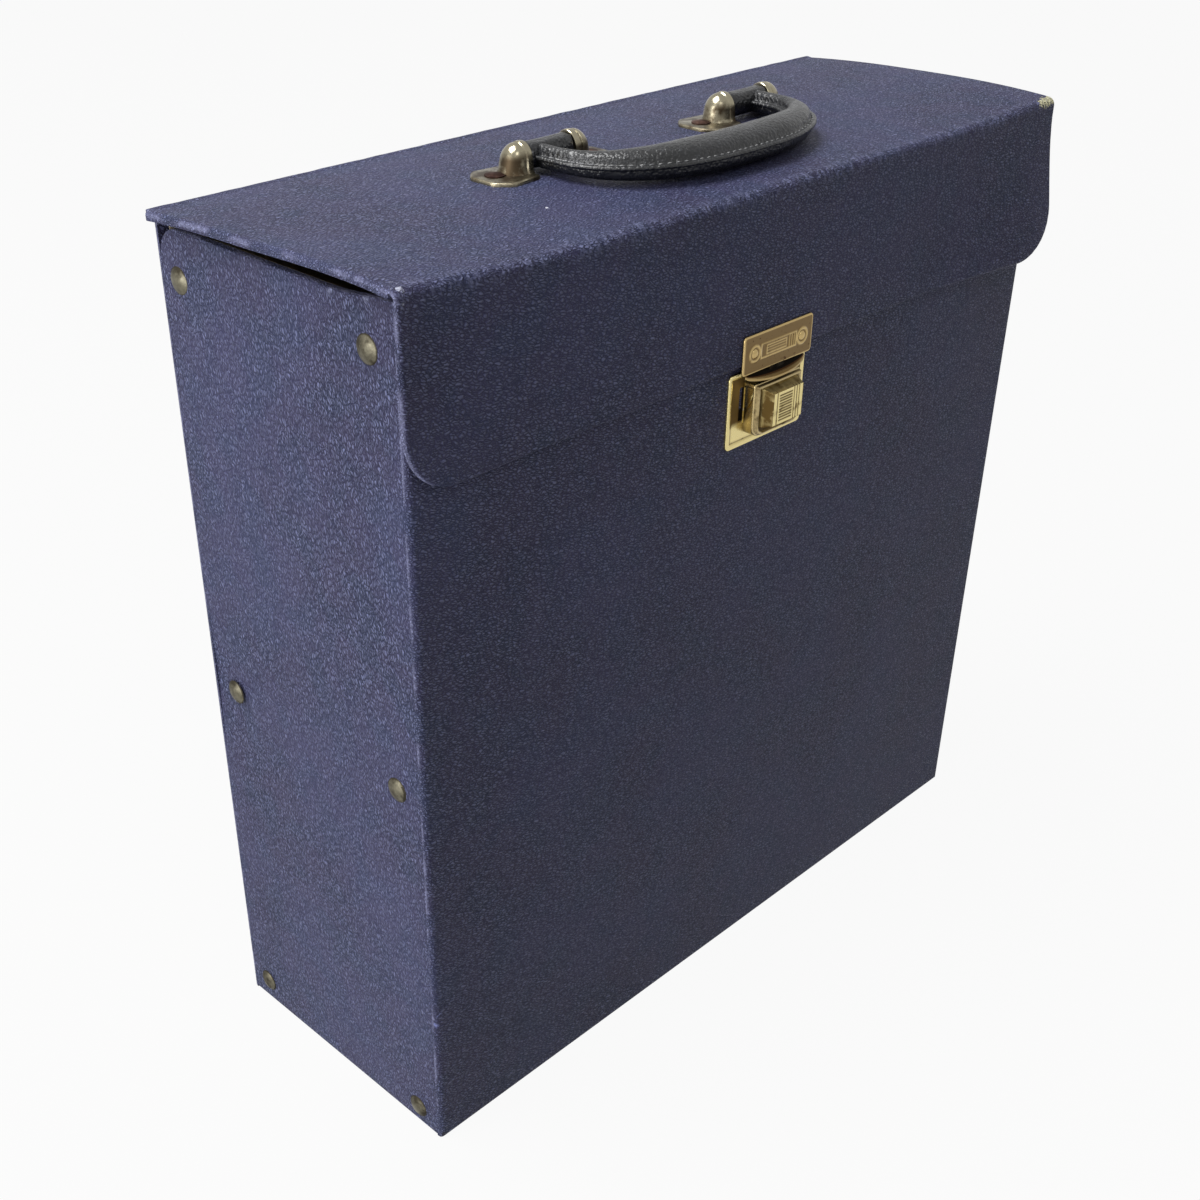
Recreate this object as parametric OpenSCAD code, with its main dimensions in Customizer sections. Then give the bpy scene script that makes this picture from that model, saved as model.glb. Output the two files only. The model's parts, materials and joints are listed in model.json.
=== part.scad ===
// Record carrying case: a covered fibreboard box for twelve-inch records with a cloth-hinged lid,
// a front flap with a hasp, a slide-button lock and a bow handle between hooded brackets.
// Millimetres. The origin is the middle of the underside, +X is to the right seen from the front,
// the front faces -Y and +Z is up.

/* [Case body] */
// Width over the covered end panels
case_w = 330; // [300:1:380]
// Depth over the covered front and back
case_d = 119; // [100:1:160]
// Height from the floor to the front edge of the closed lid
case_h = 325; // [300:1:380]
// Thickness of the fibreboard
board_t = 2; // [1.6:0.1:3]
// Thickness of the leathercloth
cloth_t = 0.6; // [0.4:0.1:0.9]
// Thickness of the paper lining
lining_t = 0.3; // [0.2:0.05:0.5]
// Gap between the walls and the lid above them
lid_gap = 0.5; // [0.3:0.1:1.5]
// How far the end panels stop below the front and back walls
end_drop = 0.8; // [0:0.2:6]
// Radius of the end panels' rear top corner
end_corner_r = 10; // [2:1:20]
// Width of the flanges inside the end panels
flange_w = 25; // [20:1:40]
// Thickness of the flanges
flange_t = 1.6; // [1:0.1:3]
// How far the flanges stop below the walls' tops
flange_drop = 4; // [1:0.5:10]

/* [End rivets] */
// Diameter of a rivet head
rivet_head_d = 9.2; // [7:0.2:12]
// Height of a rivet head's dome
rivet_head_h = 1.8; // [1:0.1:3]
// Diameter of a rivet shank
rivet_shank_d = 3.6; // [2.5:0.1:4.5]
// Distance of the rivets from the front and back faces
rivet_inset = 13; // [9:0.5:18]
// Height of the lowest rivets above the floor
rivet_low_z = 8.5; // [8:0.5:20]
// Height of the middle rivets above the floor
rivet_mid_z = 154; // [100:1:220]
// Distance of the highest rivets below the closed lid's edge
rivet_top_drop = 19; // [14:0.5:40]
// Diameter of the washers under the rivets' inner ends
washer_d = 8; // [7:0.5:10]
// Thickness of the washers
washer_t = 0.6; // [0.4:0.1:1]
// Diameter of a rivet's clenched inner end
tail_d = 5.4; // [5:0.1:6.5]
// Height of a rivet's clenched inner end
tail_h = 0.8; // [0.5:0.1:1.5]

/* [Lid and flap] */
// How far the lid and flap stand past each end panel
lid_overhang = 3; // [1:0.5:8]
// How far the middle of the lid bows up
lid_crown = 2.8; // [1:0.1:6]
// Height of the flap from the lid's edge to its lower edge
flap_h = 59; // [45:1:90]
// Radius of the flap's lower corners
flap_corner_r = 20; // [5:1:35]
// Gap between the front wall and the flap
flap_gap = 0.3; // [0.2:0.1:1]
// Outer radius of the cloth folds
fold_r = 1.6; // [1.2:0.1:1.6]

/* [Hasp] */
// Width of the hasp plate
hasp_w = 38; // [32:1:48]
// Height of the hasp plate
hasp_h = 13; // [11:0.5:18]
// Thickness of the hasp's metal
hasp_t = 0.8; // [0.6:0.1:1.2]
// How far the hasp plate hangs below the flap
hasp_drop = 2; // [1:0.1:3]
// Radius of the hasp plate's corners
hasp_corner_r = 1.5; // [0.5:0.1:3]
// Width of the lip below the hasp plate
lip_w = 31; // [24:1:36]
// How far the lip stands out at its middle
lip_out = 5; // [3:0.5:7]
// Depth of the lip's root below the hasp plate
lip_drop = 3.4; // [2.5:0.1:5]
// Width of the hasp's tongue
tongue_w = 8; // [5:0.5:9]
// Length of the tongue below the lip
tongue_h = 1.2; // [0.8:0.1:2]
// Distance of each hasp rivet from the middle
hasp_rivet_x = 13; // [11:0.5:14]
// Diameter of the hasp rivets' heads
hasp_head_d = 5.2; // [4:0.1:6]
// Height of the embossed lines on the hasp
emboss_h = 0.25; // [0.15:0.05:0.4]

/* [Lock] */
// Width of the lock's base plate
plate_w = 40; // [38:1:50]
// Height of the lock's base plate
plate_h = 27; // [26:0.5:34]
// Thickness of the base plate's metal
plate_t = 0.6; // [0.5:0.1:1]
// Width of the raised border round the base plate
border_w = 2; // [1:0.1:2]
// Height of that border
border_h = 0.4; // [0.2:0.1:0.8]
// Radius of the base plate's corners
plate_corner_r = 2; // [1:0.1:4]
// Width of the lock casing
casing_w = 29; // [28:0.5:30]
// Height of the lock casing
casing_h = 20; // [20:0.5:24]
// Thickness of the casing's walls
casing_wall = 0.7; // [0.5:0.1:0.9]
// Radius of the casing's lower corners
casing_r = 5; // [2:0.5:6]
// Clear space between the tongue and the casing
catch_gap = 0.5; // [0.4:0.1:1.5]
// Width of the button at the casing
button_w = 20.6; // [18:0.2:21]
// Height of the button at the casing
button_h = 15.4; // [13:0.2:15.4]
// How far the button stands out of the casing
button_out = 4; // [3:0.2:6]
// Width of the bevel round the button's face
button_bevel = 1; // [0.5:0.1:2]
// Travel of the button
button_travel = 2; // [1:0.1:2]
// Number of ribs across the button's face
rib_count = 9; // [5:1:12]
// Diameter of the two lock springs
spring_d = 1.9; // [1.6:0.1:2]
// Diameter of the spring wire
spring_wire = 0.35; // [0.25:0.05:0.4]

/* [Handle] */
// Distance of each bracket pair from the middle of the lid
pair_x = 51; // [42:0.5:60]
// Clear width between the two hoods of a pair
hood_gap = 20; // [18.5:0.5:21]
// Height of the handle's axis above the lid
pin_h = 5.4; // [5.4:0.1:8]
// Diameter of the handle pins
pin_d = 4; // [3:0.1:5]
// Radius of a hood's rim
rim_r = 5.2; // [4.4:0.1:5.4]
// Thickness of a hood's rim
rim_t = 2.8; // [1.5:0.1:3]
// Radius of a hood's domed end
dome_r = 5; // [4:0.1:5.4]
// Length of a bracket's base plate
bracket_w = 18.5; // [17:0.5:22]
// Width of a bracket's base plate at its rivet
bracket_d = 21; // [19:0.5:24]
// Width of a bracket's base plate at its hood
bracket_near_d = 18; // [14:0.5:19]
// Thickness of a bracket's base plate
bracket_t = 1.2; // [0.8:0.1:2]
// Cut on the corners of a bracket's base plate
bracket_cut = 5; // [3:0.5:7]
// Diameter of the bracket rivets' heads
bracket_head_d = 7; // [5:0.5:8]
// Diameter of the leather barrels round the pins
barrel_d = 10; // [9:0.2:10.4]
// Distance of the grip's legs outwards from the middle of their barrels
leg_shift = 4.5; // [0:0.5:5]
// Distance from the axis to the middle of the grip
grip_reach = 39; // [32:1:46]
// Half the width of the grip
grip_half_w = 9.2; // [7:0.2:11]
// Half the thickness of the grip
grip_half_t = 5.6; // [4.5:0.1:5.8]
// Thickness of the handle's leather
leather_t = 1; // [0.8:0.1:1.4]
// Width of the steel band in the handle
band_w = 6; // [5:0.5:7.5]
// Thickness of that band
band_t = 1.2; // [0.8:0.1:1.6]

/* [Fits] */
// Radial clearance of rivets in their holes
rivet_fit = 0.05; // [0.02:0.01:0.1]
// Radial clearance of the handle pins in their bores
pin_fit = 0.05; // [0.02:0.01:0.09]
// Side clearance of the sliding lock button
slide_fit = 0.15; // [0.1:0.05:0.2]
// Clearance between loose neighbours
loose_fit = 0.15; // [0.1:0.05:0.3]

/* [Hidden] */
$fn = 48;
cut = 1;
thin = 0.01;

// Colours of the covered board, the metal and the handle
navy = "#2b2d49";
board_brown = "#7a6248";
paper_grey = "#b9b2a0";
antique_brass = "#7d6a3c";
bright_brass = "#c9a94c";
steel_grey = "#8d8f92";
handle_black = "#26272a";

// Planes of the body, measured from the middle
front_y = -case_d / 2;
wall_in_y = case_d / 2 - cloth_t - board_t;
end_x = case_w / 2;
wall_in_x = end_x - cloth_t - board_t;
sheet_t = cloth_t + board_t + lining_t;
wall_top = case_h - sheet_t - lid_gap;
end_top = wall_top - end_drop;
floor_top = cloth_t + board_t;
room_z = floor_top + lining_t;

// End rivets: place on the end panel as [distance from the middle, height]
rivet_y = case_d / 2 - rivet_inset;
rivet_top_z = case_h - rivet_top_drop;
rivet_spots = [for (y = [-rivet_y, rivet_y], z = [rivet_low_z, rivet_mid_z, rivet_top_z]) [y, z]];
end_grip = cloth_t + board_t + flange_t + washer_t;

// Lid and flap
lid_x = end_x + lid_overhang;
flap_y = front_y - flap_gap - sheet_t;
flap_z = case_h - flap_h;
fold_y = flap_y + fold_r;
fold_z = case_h - fold_r;
flap_top = case_h - sheet_t - loose_fit;
hinge_r = cloth_t / 2;
hinge_y = case_d / 2 - hinge_r;
hinge_z = case_h - hinge_r;
hinge_slack = 1;
lid_mid_y = (flap_y + case_d / 2) / 2;
lid_half_d = (case_d / 2 - flap_y) / 2;
crown_r = (lid_half_d * lid_half_d + lid_crown * lid_crown) / (2 * lid_crown);
crown_z = case_h + lid_crown - crown_r;
crown_fn = 720;
function lid_top_at(y) = crown_z + sqrt(crown_r * crown_r - (y - lid_mid_y) * (y - lid_mid_y));

// Hasp
hasp_y = flap_y - hasp_t;
hasp_z = flap_z - hasp_drop;
lip_z = hasp_z - lip_drop;
lip_r = (lip_w * lip_w / 4 + lip_out * lip_out) / (2 * lip_out);
hasp_rivet_drop = 0.5;
hasp_rivet_z = hasp_z + hasp_h / 2 - hasp_rivet_drop;
hasp_shank_d = 2.4;
hasp_head_h = 0.9;
hasp_tail_h = 0.5;
emboss_line = 0.5;
emboss_frame_h = 5.2;
emboss_gap = 0.6;

// Lock
casing_top = lip_z - tongue_h - catch_gap;
casing_z = casing_top - casing_h;
plate_margin = 2.6;
plate_z = casing_z - plate_margin;
plate_y = front_y - plate_t;
slider_t = 0.8;
spring_side_gap = 0.1;
spring_back_gap = 0.25;
casing_d = casing_wall + slide_fit + slider_t + spring_side_gap + spring_d + spring_back_gap;
casing_y = plate_y - casing_d;
casing_in_y = casing_y + casing_wall;
casing_top_r = 1;
lock_rivet_x = 11.6;
lock_rivet_z = casing_z + casing_h / 2;
lock_shank_d = 2;
lock_head_d = 3.2;
lock_head_h = 0.5;
backing_w = 32;
backing_h = 12;
backing_t = 0.8;
backing_r = 2;
ear_t = 0.6;
ear_h = 13;
ear_out = 3;
ear_drop = 1.5;
ear_z = casing_top - ear_h - ear_drop;
slot_w = plate_w / 2 - border_w - casing_w / 2 - loose_fit - ear_t;
slider_w = 24;
slider_h = 13;
nose_w = 6;
nose_h = 1;
mouth_side = 0.5;
mouth_w = tongue_w + 2 * mouth_side;
mouth_front = 0.4;
mouth_d = 1.6;
button_drop = 0.9;
button_top = casing_top - casing_wall - button_drop;
button_z = button_top - button_h;
button_y = casing_y - button_out;
button_wall = 0.8;
slider_y = casing_in_y + slide_fit;
slider_z = button_z + (button_h - slider_h) / 2;
lug_w = 2.4;
lug_t = 0.8;
lug_up = 7;
lug_z = slider_z + lug_up;
spring_x = 7.6;
spring_y = plate_y - spring_back_gap - spring_d / 2;
spring_z = casing_z + casing_wall;
spring_end_gap = 0.05;
spring_turns = 8;
spring_steps = 12;
spring_sides = 6;
rib_w = 8;
rib_area_h = 8.4;
rib_h = 0.3;
rib_share = 0.5;
flute_count = 3;
flute_w = 0.45;
flute_gap = 0.9;
flute_end = 0.3;

// Handle
lid_top = case_h + lid_crown;
pin_z = lid_top + pin_h;
pin_r = pin_d / 2;
hood_x = hood_gap / 2;
bore_past_rim = 2;
hood_bore_l = rim_t + bore_past_rim;
pin_end_gap = 0.2;
pin_l = hood_gap + 2 * hood_bore_l - 2 * pin_end_gap;
bracket_rivet_gap = 0.3;
bracket_rivet_x = hood_x + rim_t + dome_r + bracket_head_d / 2 + bracket_rivet_gap;
bracket_rivet_y = 1;
bracket_shank_d = 3;
bracket_head_h = 1;
barrel_gap = 0.2;
barrel_l = hood_gap - 2 * barrel_gap;
eye_d = 7;
eye_l = band_w + 1;
leg_x = pair_x + leg_shift;
grip_start = 4;
grip_bend = 8;
grip_power = 2.6;
grip_steps = 44;
arc_steps = 12;
grip_end_gap = 0.4;
grip_round = 0.8;
end_half_w = hood_x - grip_end_gap - leg_shift;
end_half_t = 4.3;
swell_from = 14;
swell_to = 66;

// A box between two corners
module block(low, high) {
    translate(low) cube(high - low);
}

// A plate that stands facing the front: its back is at y and it is t thick towards -Y
module facing_front(y, t) {
    translate([0, y, 0]) rotate([90, 0, 0]) linear_extrude(t) children();
}

// A plate that stands at an end: its inner face is at x and it is t thick towards +X
module facing_end(x, t) {
    translate([x, 0, 0]) rotate([90, 0, 90]) linear_extrude(t) children();
}

// Mirrors what is built for the right end to the left end
module on_side(side) {
    mirror([side < 0 ? 1 : 0, 0, 0]) children();
}

// What a round corner takes off a square one
module corner_bite(r) {
    difference() {
        translate([-cut, -cut]) square(r + cut);
        translate([r, r]) circle(r);
    }
}

function all_four(r) = [r, r, r, r];

// A rectangle with its lower corner at low, and a radius for each corner:
// lower left, lower right, upper right, upper left
module rounded(low, size, radii) {
    translate(low) difference() {
        square(size);
        for (i = [0:3]) {
            right = (i == 1 || i == 2);
            upper = i > 1;
            if (radii[i] > 0)
                translate([right ? size.x : 0, upper ? size.y : 0])
                    mirror([right ? 1 : 0, 0]) mirror([0, upper ? 1 : 0]) corner_bite(radii[i]);
        }
    }
}

// A rivet along +Z: the head stands on z = 0, and grip is the stack below it
module rivet(grip, head_d, head_h, shank_d, tail_d, tail_h) {
    dome_r = (head_d * head_d / 4 + head_h * head_h) / (2 * head_h);
    intersection() {
        translate([0, 0, head_h - dome_r]) sphere(dome_r, $fn = 96);
        cylinder(d = head_d, h = head_h + cut);
    }
    translate([0, 0, -grip - tail_h / 2]) cylinder(d = shank_d, h = grip + tail_h / 2);
    translate([0, 0, -grip - tail_h]) cylinder(d = tail_d, h = tail_h);
}

// ---- Body boards, covers and linings ----

module end_rivet_holes() {
    for (spot = rivet_spots)
        translate([wall_in_x - flange_t - washer_t - cut, spot.x, spot.y])
            rotate([0, 90, 0]) cylinder(d = rivet_shank_d + 2 * rivet_fit, h = end_grip + 2 * cut);
}

module lock_holes(extra) {
    for (x = [-lock_rivet_x, lock_rivet_x])
        translate([x, front_y - plate_t - cut, lock_rivet_z])
            rotate([-90, 0, 0])
                cylinder(d = lock_shank_d + 2 * rivet_fit, h = sheet_t + plate_t + extra + 2 * cut);
}

module front_board() color(board_brown) difference() {
    block([cloth_t - end_x, front_y + cloth_t, cloth_t], [end_x - cloth_t, -wall_in_y, wall_top]);
    lock_holes(0);
}

module back_board() color(board_brown)
    block([cloth_t - end_x, wall_in_y, cloth_t], [end_x - cloth_t, wall_in_y + board_t, wall_top]);

module base_board() color(board_brown)
    block([cloth_t - end_x, -wall_in_y, cloth_t], [end_x - cloth_t, wall_in_y, floor_top]);

module end_outline(low_z, half_d)
    rounded([-half_d, low_z], [2 * half_d, end_top - low_z], [0, 0, end_corner_r, 0]);

module end_board(side) color(board_brown) on_side(side) difference() {
    facing_end(wall_in_x, board_t) end_outline(floor_top, wall_in_y);
    end_rivet_holes();
}

module end_cover(side) color(navy) on_side(side) difference() {
    facing_end(wall_in_x + board_t, cloth_t) end_outline(cloth_t, case_d / 2 - cloth_t);
    end_rivet_holes();
}

module front_cover() color(navy) difference() {
    block([-end_x, front_y, cloth_t], [end_x, front_y + cloth_t, wall_top]);
    lock_holes(0);
}

module back_cover() color(navy)
    block([-end_x, case_d / 2 - cloth_t, cloth_t], [end_x, case_d / 2, hinge_z - hinge_slack]);

module base_cover() color(navy)
    block([-end_x, front_y, 0], [end_x, -front_y, cloth_t]);

// row is -1 for the front flange and 1 for the rear one
module flange(side, row) color(board_brown) on_side(side) difference() {
    mirror([0, row < 0 ? 1 : 0, 0])
        block([wall_in_x - flange_t, wall_in_y - flange_w, floor_top],
            [wall_in_x, wall_in_y, wall_top - flange_drop]);
    end_rivet_holes();
}

module front_lining() color(paper_grey) difference() {
    block([flange_t - wall_in_x, -wall_in_y, room_z],
        [wall_in_x - flange_t, lining_t - wall_in_y, wall_top]);
    lock_holes(0);
}

module back_lining() color(paper_grey)
    block([flange_t - wall_in_x, wall_in_y - lining_t, room_z],
        [wall_in_x - flange_t, wall_in_y, wall_top]);

module base_lining() color(paper_grey)
    block([flange_t - wall_in_x, -wall_in_y, floor_top], [wall_in_x - flange_t, wall_in_y, room_z]);

module end_lining(side) color(paper_grey) on_side(side)
    block([wall_in_x - lining_t, flange_w - wall_in_y, floor_top],
        [wall_in_x, wall_in_y - flange_w, end_top]);

module end_rivets(side) color(antique_brass) on_side(side)
    for (spot = rivet_spots)
        translate([end_x, spot.x, spot.y]) rotate([0, 90, 0])
            rivet(end_grip, rivet_head_d, rivet_head_h, rivet_shank_d, tail_d, tail_h);

module end_washers(side) color(steel_grey) on_side(side) difference() {
    for (spot = rivet_spots)
        translate([wall_in_x - flange_t - washer_t, spot.x, spot.y]) rotate([0, 90, 0])
            cylinder(d = washer_d, h = washer_t);
    end_rivet_holes();
}

// ---- Lock ----

module lock_base_plate() color(bright_brass) {
    corners = all_four(plate_corner_r);
    low = [-plate_w / 2, plate_z];
    difference() {
        union() {
            facing_front(front_y, plate_t) rounded(low, [plate_w, plate_h], corners);
            facing_front(plate_y, border_h) difference() {
                rounded(low, [plate_w, plate_h], corners);
                translate(low + [border_w, border_w])
                    square([plate_w - 2 * border_w, plate_h - 2 * border_w]);
            }
        }
        lock_holes(0);
        for (side = [-1, 1]) on_side(side)
            block([casing_w / 2 + loose_fit + ear_t, plate_y - border_h - cut, ear_z],
                [casing_w / 2 + loose_fit + ear_t + slot_w, front_y + cut, ear_z + ear_h]);
    }
    for (side = [-1, 1]) on_side(side)
        block([casing_w / 2 + loose_fit, plate_y - ear_out, ear_z],
            [casing_w / 2 + loose_fit + ear_t, plate_y, ear_z + ear_h]);
}

module lock_casing() color(antique_brass) difference() {
    inner_r = casing_r - casing_wall;
    facing_front(plate_y, casing_d)
        rounded([-casing_w / 2, casing_z], [casing_w, casing_h],
            [casing_r, casing_r, casing_top_r, casing_top_r]);
    facing_front(plate_y + cut, casing_d - casing_wall + cut)
        rounded([casing_wall - casing_w / 2, casing_z + casing_wall],
            [casing_w - 2 * casing_wall, casing_h - 2 * casing_wall], [inner_r, inner_r, 0, 0]);
    block([-button_w / 2 - slide_fit, casing_y - cut, button_z - button_travel - slide_fit],
        [button_w / 2 + slide_fit, casing_in_y + cut, button_top + slide_fit]);
    block([-mouth_w / 2, casing_in_y - mouth_front, casing_top - casing_wall - cut],
        [mouth_w / 2, casing_in_y + mouth_d, casing_top + cut]);
}

module lock_rivets() color(steel_grey)
    for (x = [-lock_rivet_x, lock_rivet_x])
        translate([x, plate_y, lock_rivet_z]) rotate([90, 0, 0])
            rivet(plate_t + sheet_t + backing_t, lock_head_d, lock_head_h,
                lock_shank_d, lock_head_d, lock_head_h);

module lock_backing_plate() color(steel_grey) difference() {
    facing_front(lining_t - wall_in_y + backing_t, backing_t)
        rounded([-backing_w / 2, lock_rivet_z - backing_h / 2], [backing_w, backing_h],
            all_four(backing_r));
    lock_holes(backing_t);
}

// Points of one ring of a coil's wire, a turn being 360 degrees
function coil_ring(angle, coil_r, wire_r, rise) = [
    for (k = [0:spring_sides - 1])
        let (a = k * 360 / spring_sides, out = coil_r + wire_r * cos(a))
            [out * cos(angle), out * sin(angle), wire_r + rise * angle / 360 + wire_r * sin(a)]
];

// Faces round a tube of rings, each with sides points
function tube_walls(rings, sides) = [
    for (i = [0:rings - 2], k = [0:sides - 1])
        let (n = (k + 1) % sides, low = i * sides, high = low + sides)
            each [[low + k, high + k, high + n], [low + k, high + n, low + n]]
];
// Faces that close a tube whose rings are convex
function flat_ends(rings, sides) = [
    [for (k = [0:sides - 1]) k],
    [for (k = [0:sides - 1]) rings * sides - 1 - k]
];
// Faces that close a tube whose rings are thin arches: out along one arc and back along another
function arch_ends(rings, sides) = let (last = (rings - 1) * sides) [
    for (k = [0:sides / 2 - 2]) each [
        [k, k + 1, sides - 2 - k, sides - 1 - k],
        [last + sides - 1 - k, last + sides - 2 - k, last + k + 1, last + k]
    ]
];

module coil(length) {
    wire_r = spring_wire / 2;
    rise = (length - spring_wire) / spring_turns;
    rings = spring_turns * spring_steps + 1;
    points = [for (i = [0:rings - 1])
        each coil_ring(i * 360 / spring_steps, spring_d / 2 - wire_r, wire_r, rise)];
    polyhedron(points, concat(tube_walls(rings, spring_sides), flat_ends(rings, spring_sides)),
        convexity = 8);
}

module lock_springs() color(steel_grey)
    for (x = [-spring_x, spring_x])
        translate([x, spring_y, spring_z]) coil(lug_z - spring_z - spring_end_gap);

// The tapered body of the button, inset from its outer faces, with its back at rear_y
module button_shell(inset, rear_y) {
    hull() {
        block([inset - button_w / 2, rear_y - thin, button_z + inset],
            [button_w / 2 - inset, rear_y, button_top - inset]);
        block([button_bevel + inset - button_w / 2, button_y + inset, button_z + button_bevel + inset],
            [button_w / 2 - button_bevel - inset, button_y + inset + thin,
                button_top - button_bevel - inset]);
    }
}

module lock_button() color(bright_brass) {
    mid_z = (button_z + button_top) / 2;
    rib_pitch = rib_area_h / rib_count;
    difference() {
        button_shell(0, slider_y);
        button_shell(button_wall, slider_y + thin);
    }
    for (i = [0:rib_count - 1])
        translate([0, 0, mid_z - rib_area_h / 2 + (i + (1 - rib_share) / 2) * rib_pitch])
            block([-rib_w / 2, button_y - rib_h, 0], [rib_w / 2, button_y + rib_h, rib_share * rib_pitch]);
    for (side = [-1, 1], n = [0:flute_count - 1]) on_side(side)
        translate([rib_w / 2 + flute_gap + 2 * n * flute_w, button_y, 0])
            block([0, -rib_h, button_z + button_bevel + flute_end],
                [flute_w, rib_h, button_top - button_bevel - flute_end]);
}

// The plate behind the casing's front, with a nose at the top and two lugs that stand on the springs
module lock_slider() color(steel_grey) {
    rear_y = slider_y + slider_t;
    block([-slider_w / 2, slider_y, slider_z], [slider_w / 2, rear_y, slider_z + slider_h]);
    block([-nose_w / 2, slider_y, slider_z + slider_h],
        [nose_w / 2, rear_y, slider_z + slider_h + nose_h]);
    for (side = [-1, 1]) on_side(side)
        block([spring_x - lug_w / 2, rear_y, lug_z],
            [spring_x + lug_w / 2, spring_y + spring_d / 2, lug_z + lug_t]);
}

// ---- Lid and flap ----

// A layer of the bowed lid, drop below its top and t thick, from low_y to high_y
module lid_layer(half_x, drop, t, low_y, high_y) {
    facing_end(-half_x, 2 * half_x) intersection() {
        translate([lid_mid_y, crown_z]) difference() {
            circle(crown_r - drop, $fn = crown_fn);
            circle(crown_r - drop - t, $fn = crown_fn);
        }
        translate([low_y, case_h - sheet_t - cut]) square([high_y - low_y, sheet_t + lid_crown + 2 * cut]);
    }
}

module bracket_holes() {
    for (side = [-1, 1], way = [-1, 1])
        translate([side * pair_x + way * bracket_rivet_x, bracket_rivet_y, case_h - sheet_t - cut])
            cylinder(d = bracket_shank_d + 2 * rivet_fit, h = sheet_t + lid_crown + bracket_t + 2 * cut);
}

module lid_board() color(board_brown) difference() {
    lid_layer(lid_x - cloth_t, cloth_t, board_t, fold_y + loose_fit, hinge_y - hinge_r - loose_fit);
    bracket_holes();
}

module lid_cover() color(navy) {
    difference() {
        lid_layer(lid_x, 0, cloth_t, fold_y, hinge_y);
        bracket_holes();
    }
    translate([-lid_x, hinge_y, hinge_z]) rotate([0, 90, 0]) cylinder(r = hinge_r, h = 2 * lid_x);
}

module lid_lining() color(paper_grey) difference() {
    lid_layer(lid_x - cloth_t, cloth_t + board_t, lining_t,
        fold_y + loose_fit, hinge_y - hinge_r - loose_fit);
    bracket_holes();
}

module flap_fold_cloth() color(navy) {
    facing_end(-lid_x, 2 * lid_x) intersection() {
        translate([fold_y, fold_z]) difference() {
            circle(fold_r);
            circle(fold_r - cloth_t);
        }
        translate([fold_y - fold_r - cut, fold_z]) square([fold_r + cut, fold_r + cut]);
    }
    block([-lid_x, flap_y, flap_top], [lid_x, flap_y + cloth_t, fold_z]);
}

module flap_layer(half_x, back, t, low_z) {
    corner = flap_corner_r - (lid_x - half_x);
    facing_front(back, t)
        rounded([-half_x, low_z], [2 * half_x, flap_top - loose_fit - low_z], [corner, corner, 0, 0]);
}

module hasp_holes(d, y, depth) {
    for (x = [-hasp_rivet_x, hasp_rivet_x])
        translate([x, y, hasp_rivet_z]) rotate([-90, 0, 0]) cylinder(d = d, h = depth);
}

module hasp_shank_holes()
    hasp_holes(hasp_shank_d + 2 * rivet_fit, hasp_y - cut, hasp_t + sheet_t + 2 * cut);

module flap_board() color(board_brown) difference() {
    flap_layer(lid_x - cloth_t, flap_y + cloth_t + board_t, board_t, flap_z + cloth_t);
    hasp_shank_holes();
    hasp_holes(hasp_head_d + 2 * rivet_fit, flap_y + cloth_t + board_t - hasp_tail_h, hasp_tail_h + cut);
}

module flap_cover() color(navy) difference() {
    flap_layer(lid_x, flap_y + cloth_t, cloth_t, flap_z);
    hasp_shank_holes();
}

module flap_lining() color(paper_grey) difference() {
    flap_layer(lid_x - cloth_t, flap_y + sheet_t, lining_t, flap_z + cloth_t);
    hasp_shank_holes();
}

module hasp_plate() color(antique_brass) {
    frame_h = emboss_frame_h;
    frame_x = hasp_rivet_x - hasp_head_d / 2 - emboss_gap;
    difference() {
        facing_front(flap_y, hasp_t)
            rounded([-hasp_w / 2, hasp_z], [hasp_w, hasp_h], all_four(hasp_corner_r));
        hasp_shank_holes();
    }
    // neck, lip and tongue below the plate
    block([-tongue_w, hasp_y, lip_z], [tongue_w, flap_y, hasp_z + hasp_t]);
    translate([0, 0, lip_z]) linear_extrude(hasp_t) intersection() {
        translate([0, flap_y - lip_out + lip_r]) circle(lip_r, $fn = 128);
        translate([-lip_w / 2, flap_y - lip_out - cut]) square([lip_w, lip_out + cut]);
    }
    block([-tongue_w / 2, hasp_y, lip_z - tongue_h], [tongue_w / 2, flap_y, lip_z]);
    // embossed frame with lines
    for (z = [-frame_h / 2, -frame_h / 6, frame_h / 6, frame_h / 2])
        block([-frame_x, hasp_y - emboss_h, hasp_rivet_z + z - emboss_line / 2],
            [frame_x, hasp_y, hasp_rivet_z + z + emboss_line / 2]);
    for (x = [-frame_x, -frame_x / 2, frame_x / 2, frame_x])
        block([x - emboss_line / 2, hasp_y - emboss_h, hasp_rivet_z - frame_h / 2],
            [x + emboss_line / 2, hasp_y, hasp_rivet_z + frame_h / 2]);
}

module hasp_rivets() color(antique_brass)
    for (x = [-hasp_rivet_x, hasp_rivet_x])
        translate([x, hasp_y, hasp_rivet_z]) rotate([90, 0, 0])
            rivet(hasp_t + cloth_t + board_t - hasp_tail_h, hasp_head_d, hasp_head_h, hasp_shank_d,
                hasp_head_d, hasp_tail_h);

// ---- Handle brackets and pins ----

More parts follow.
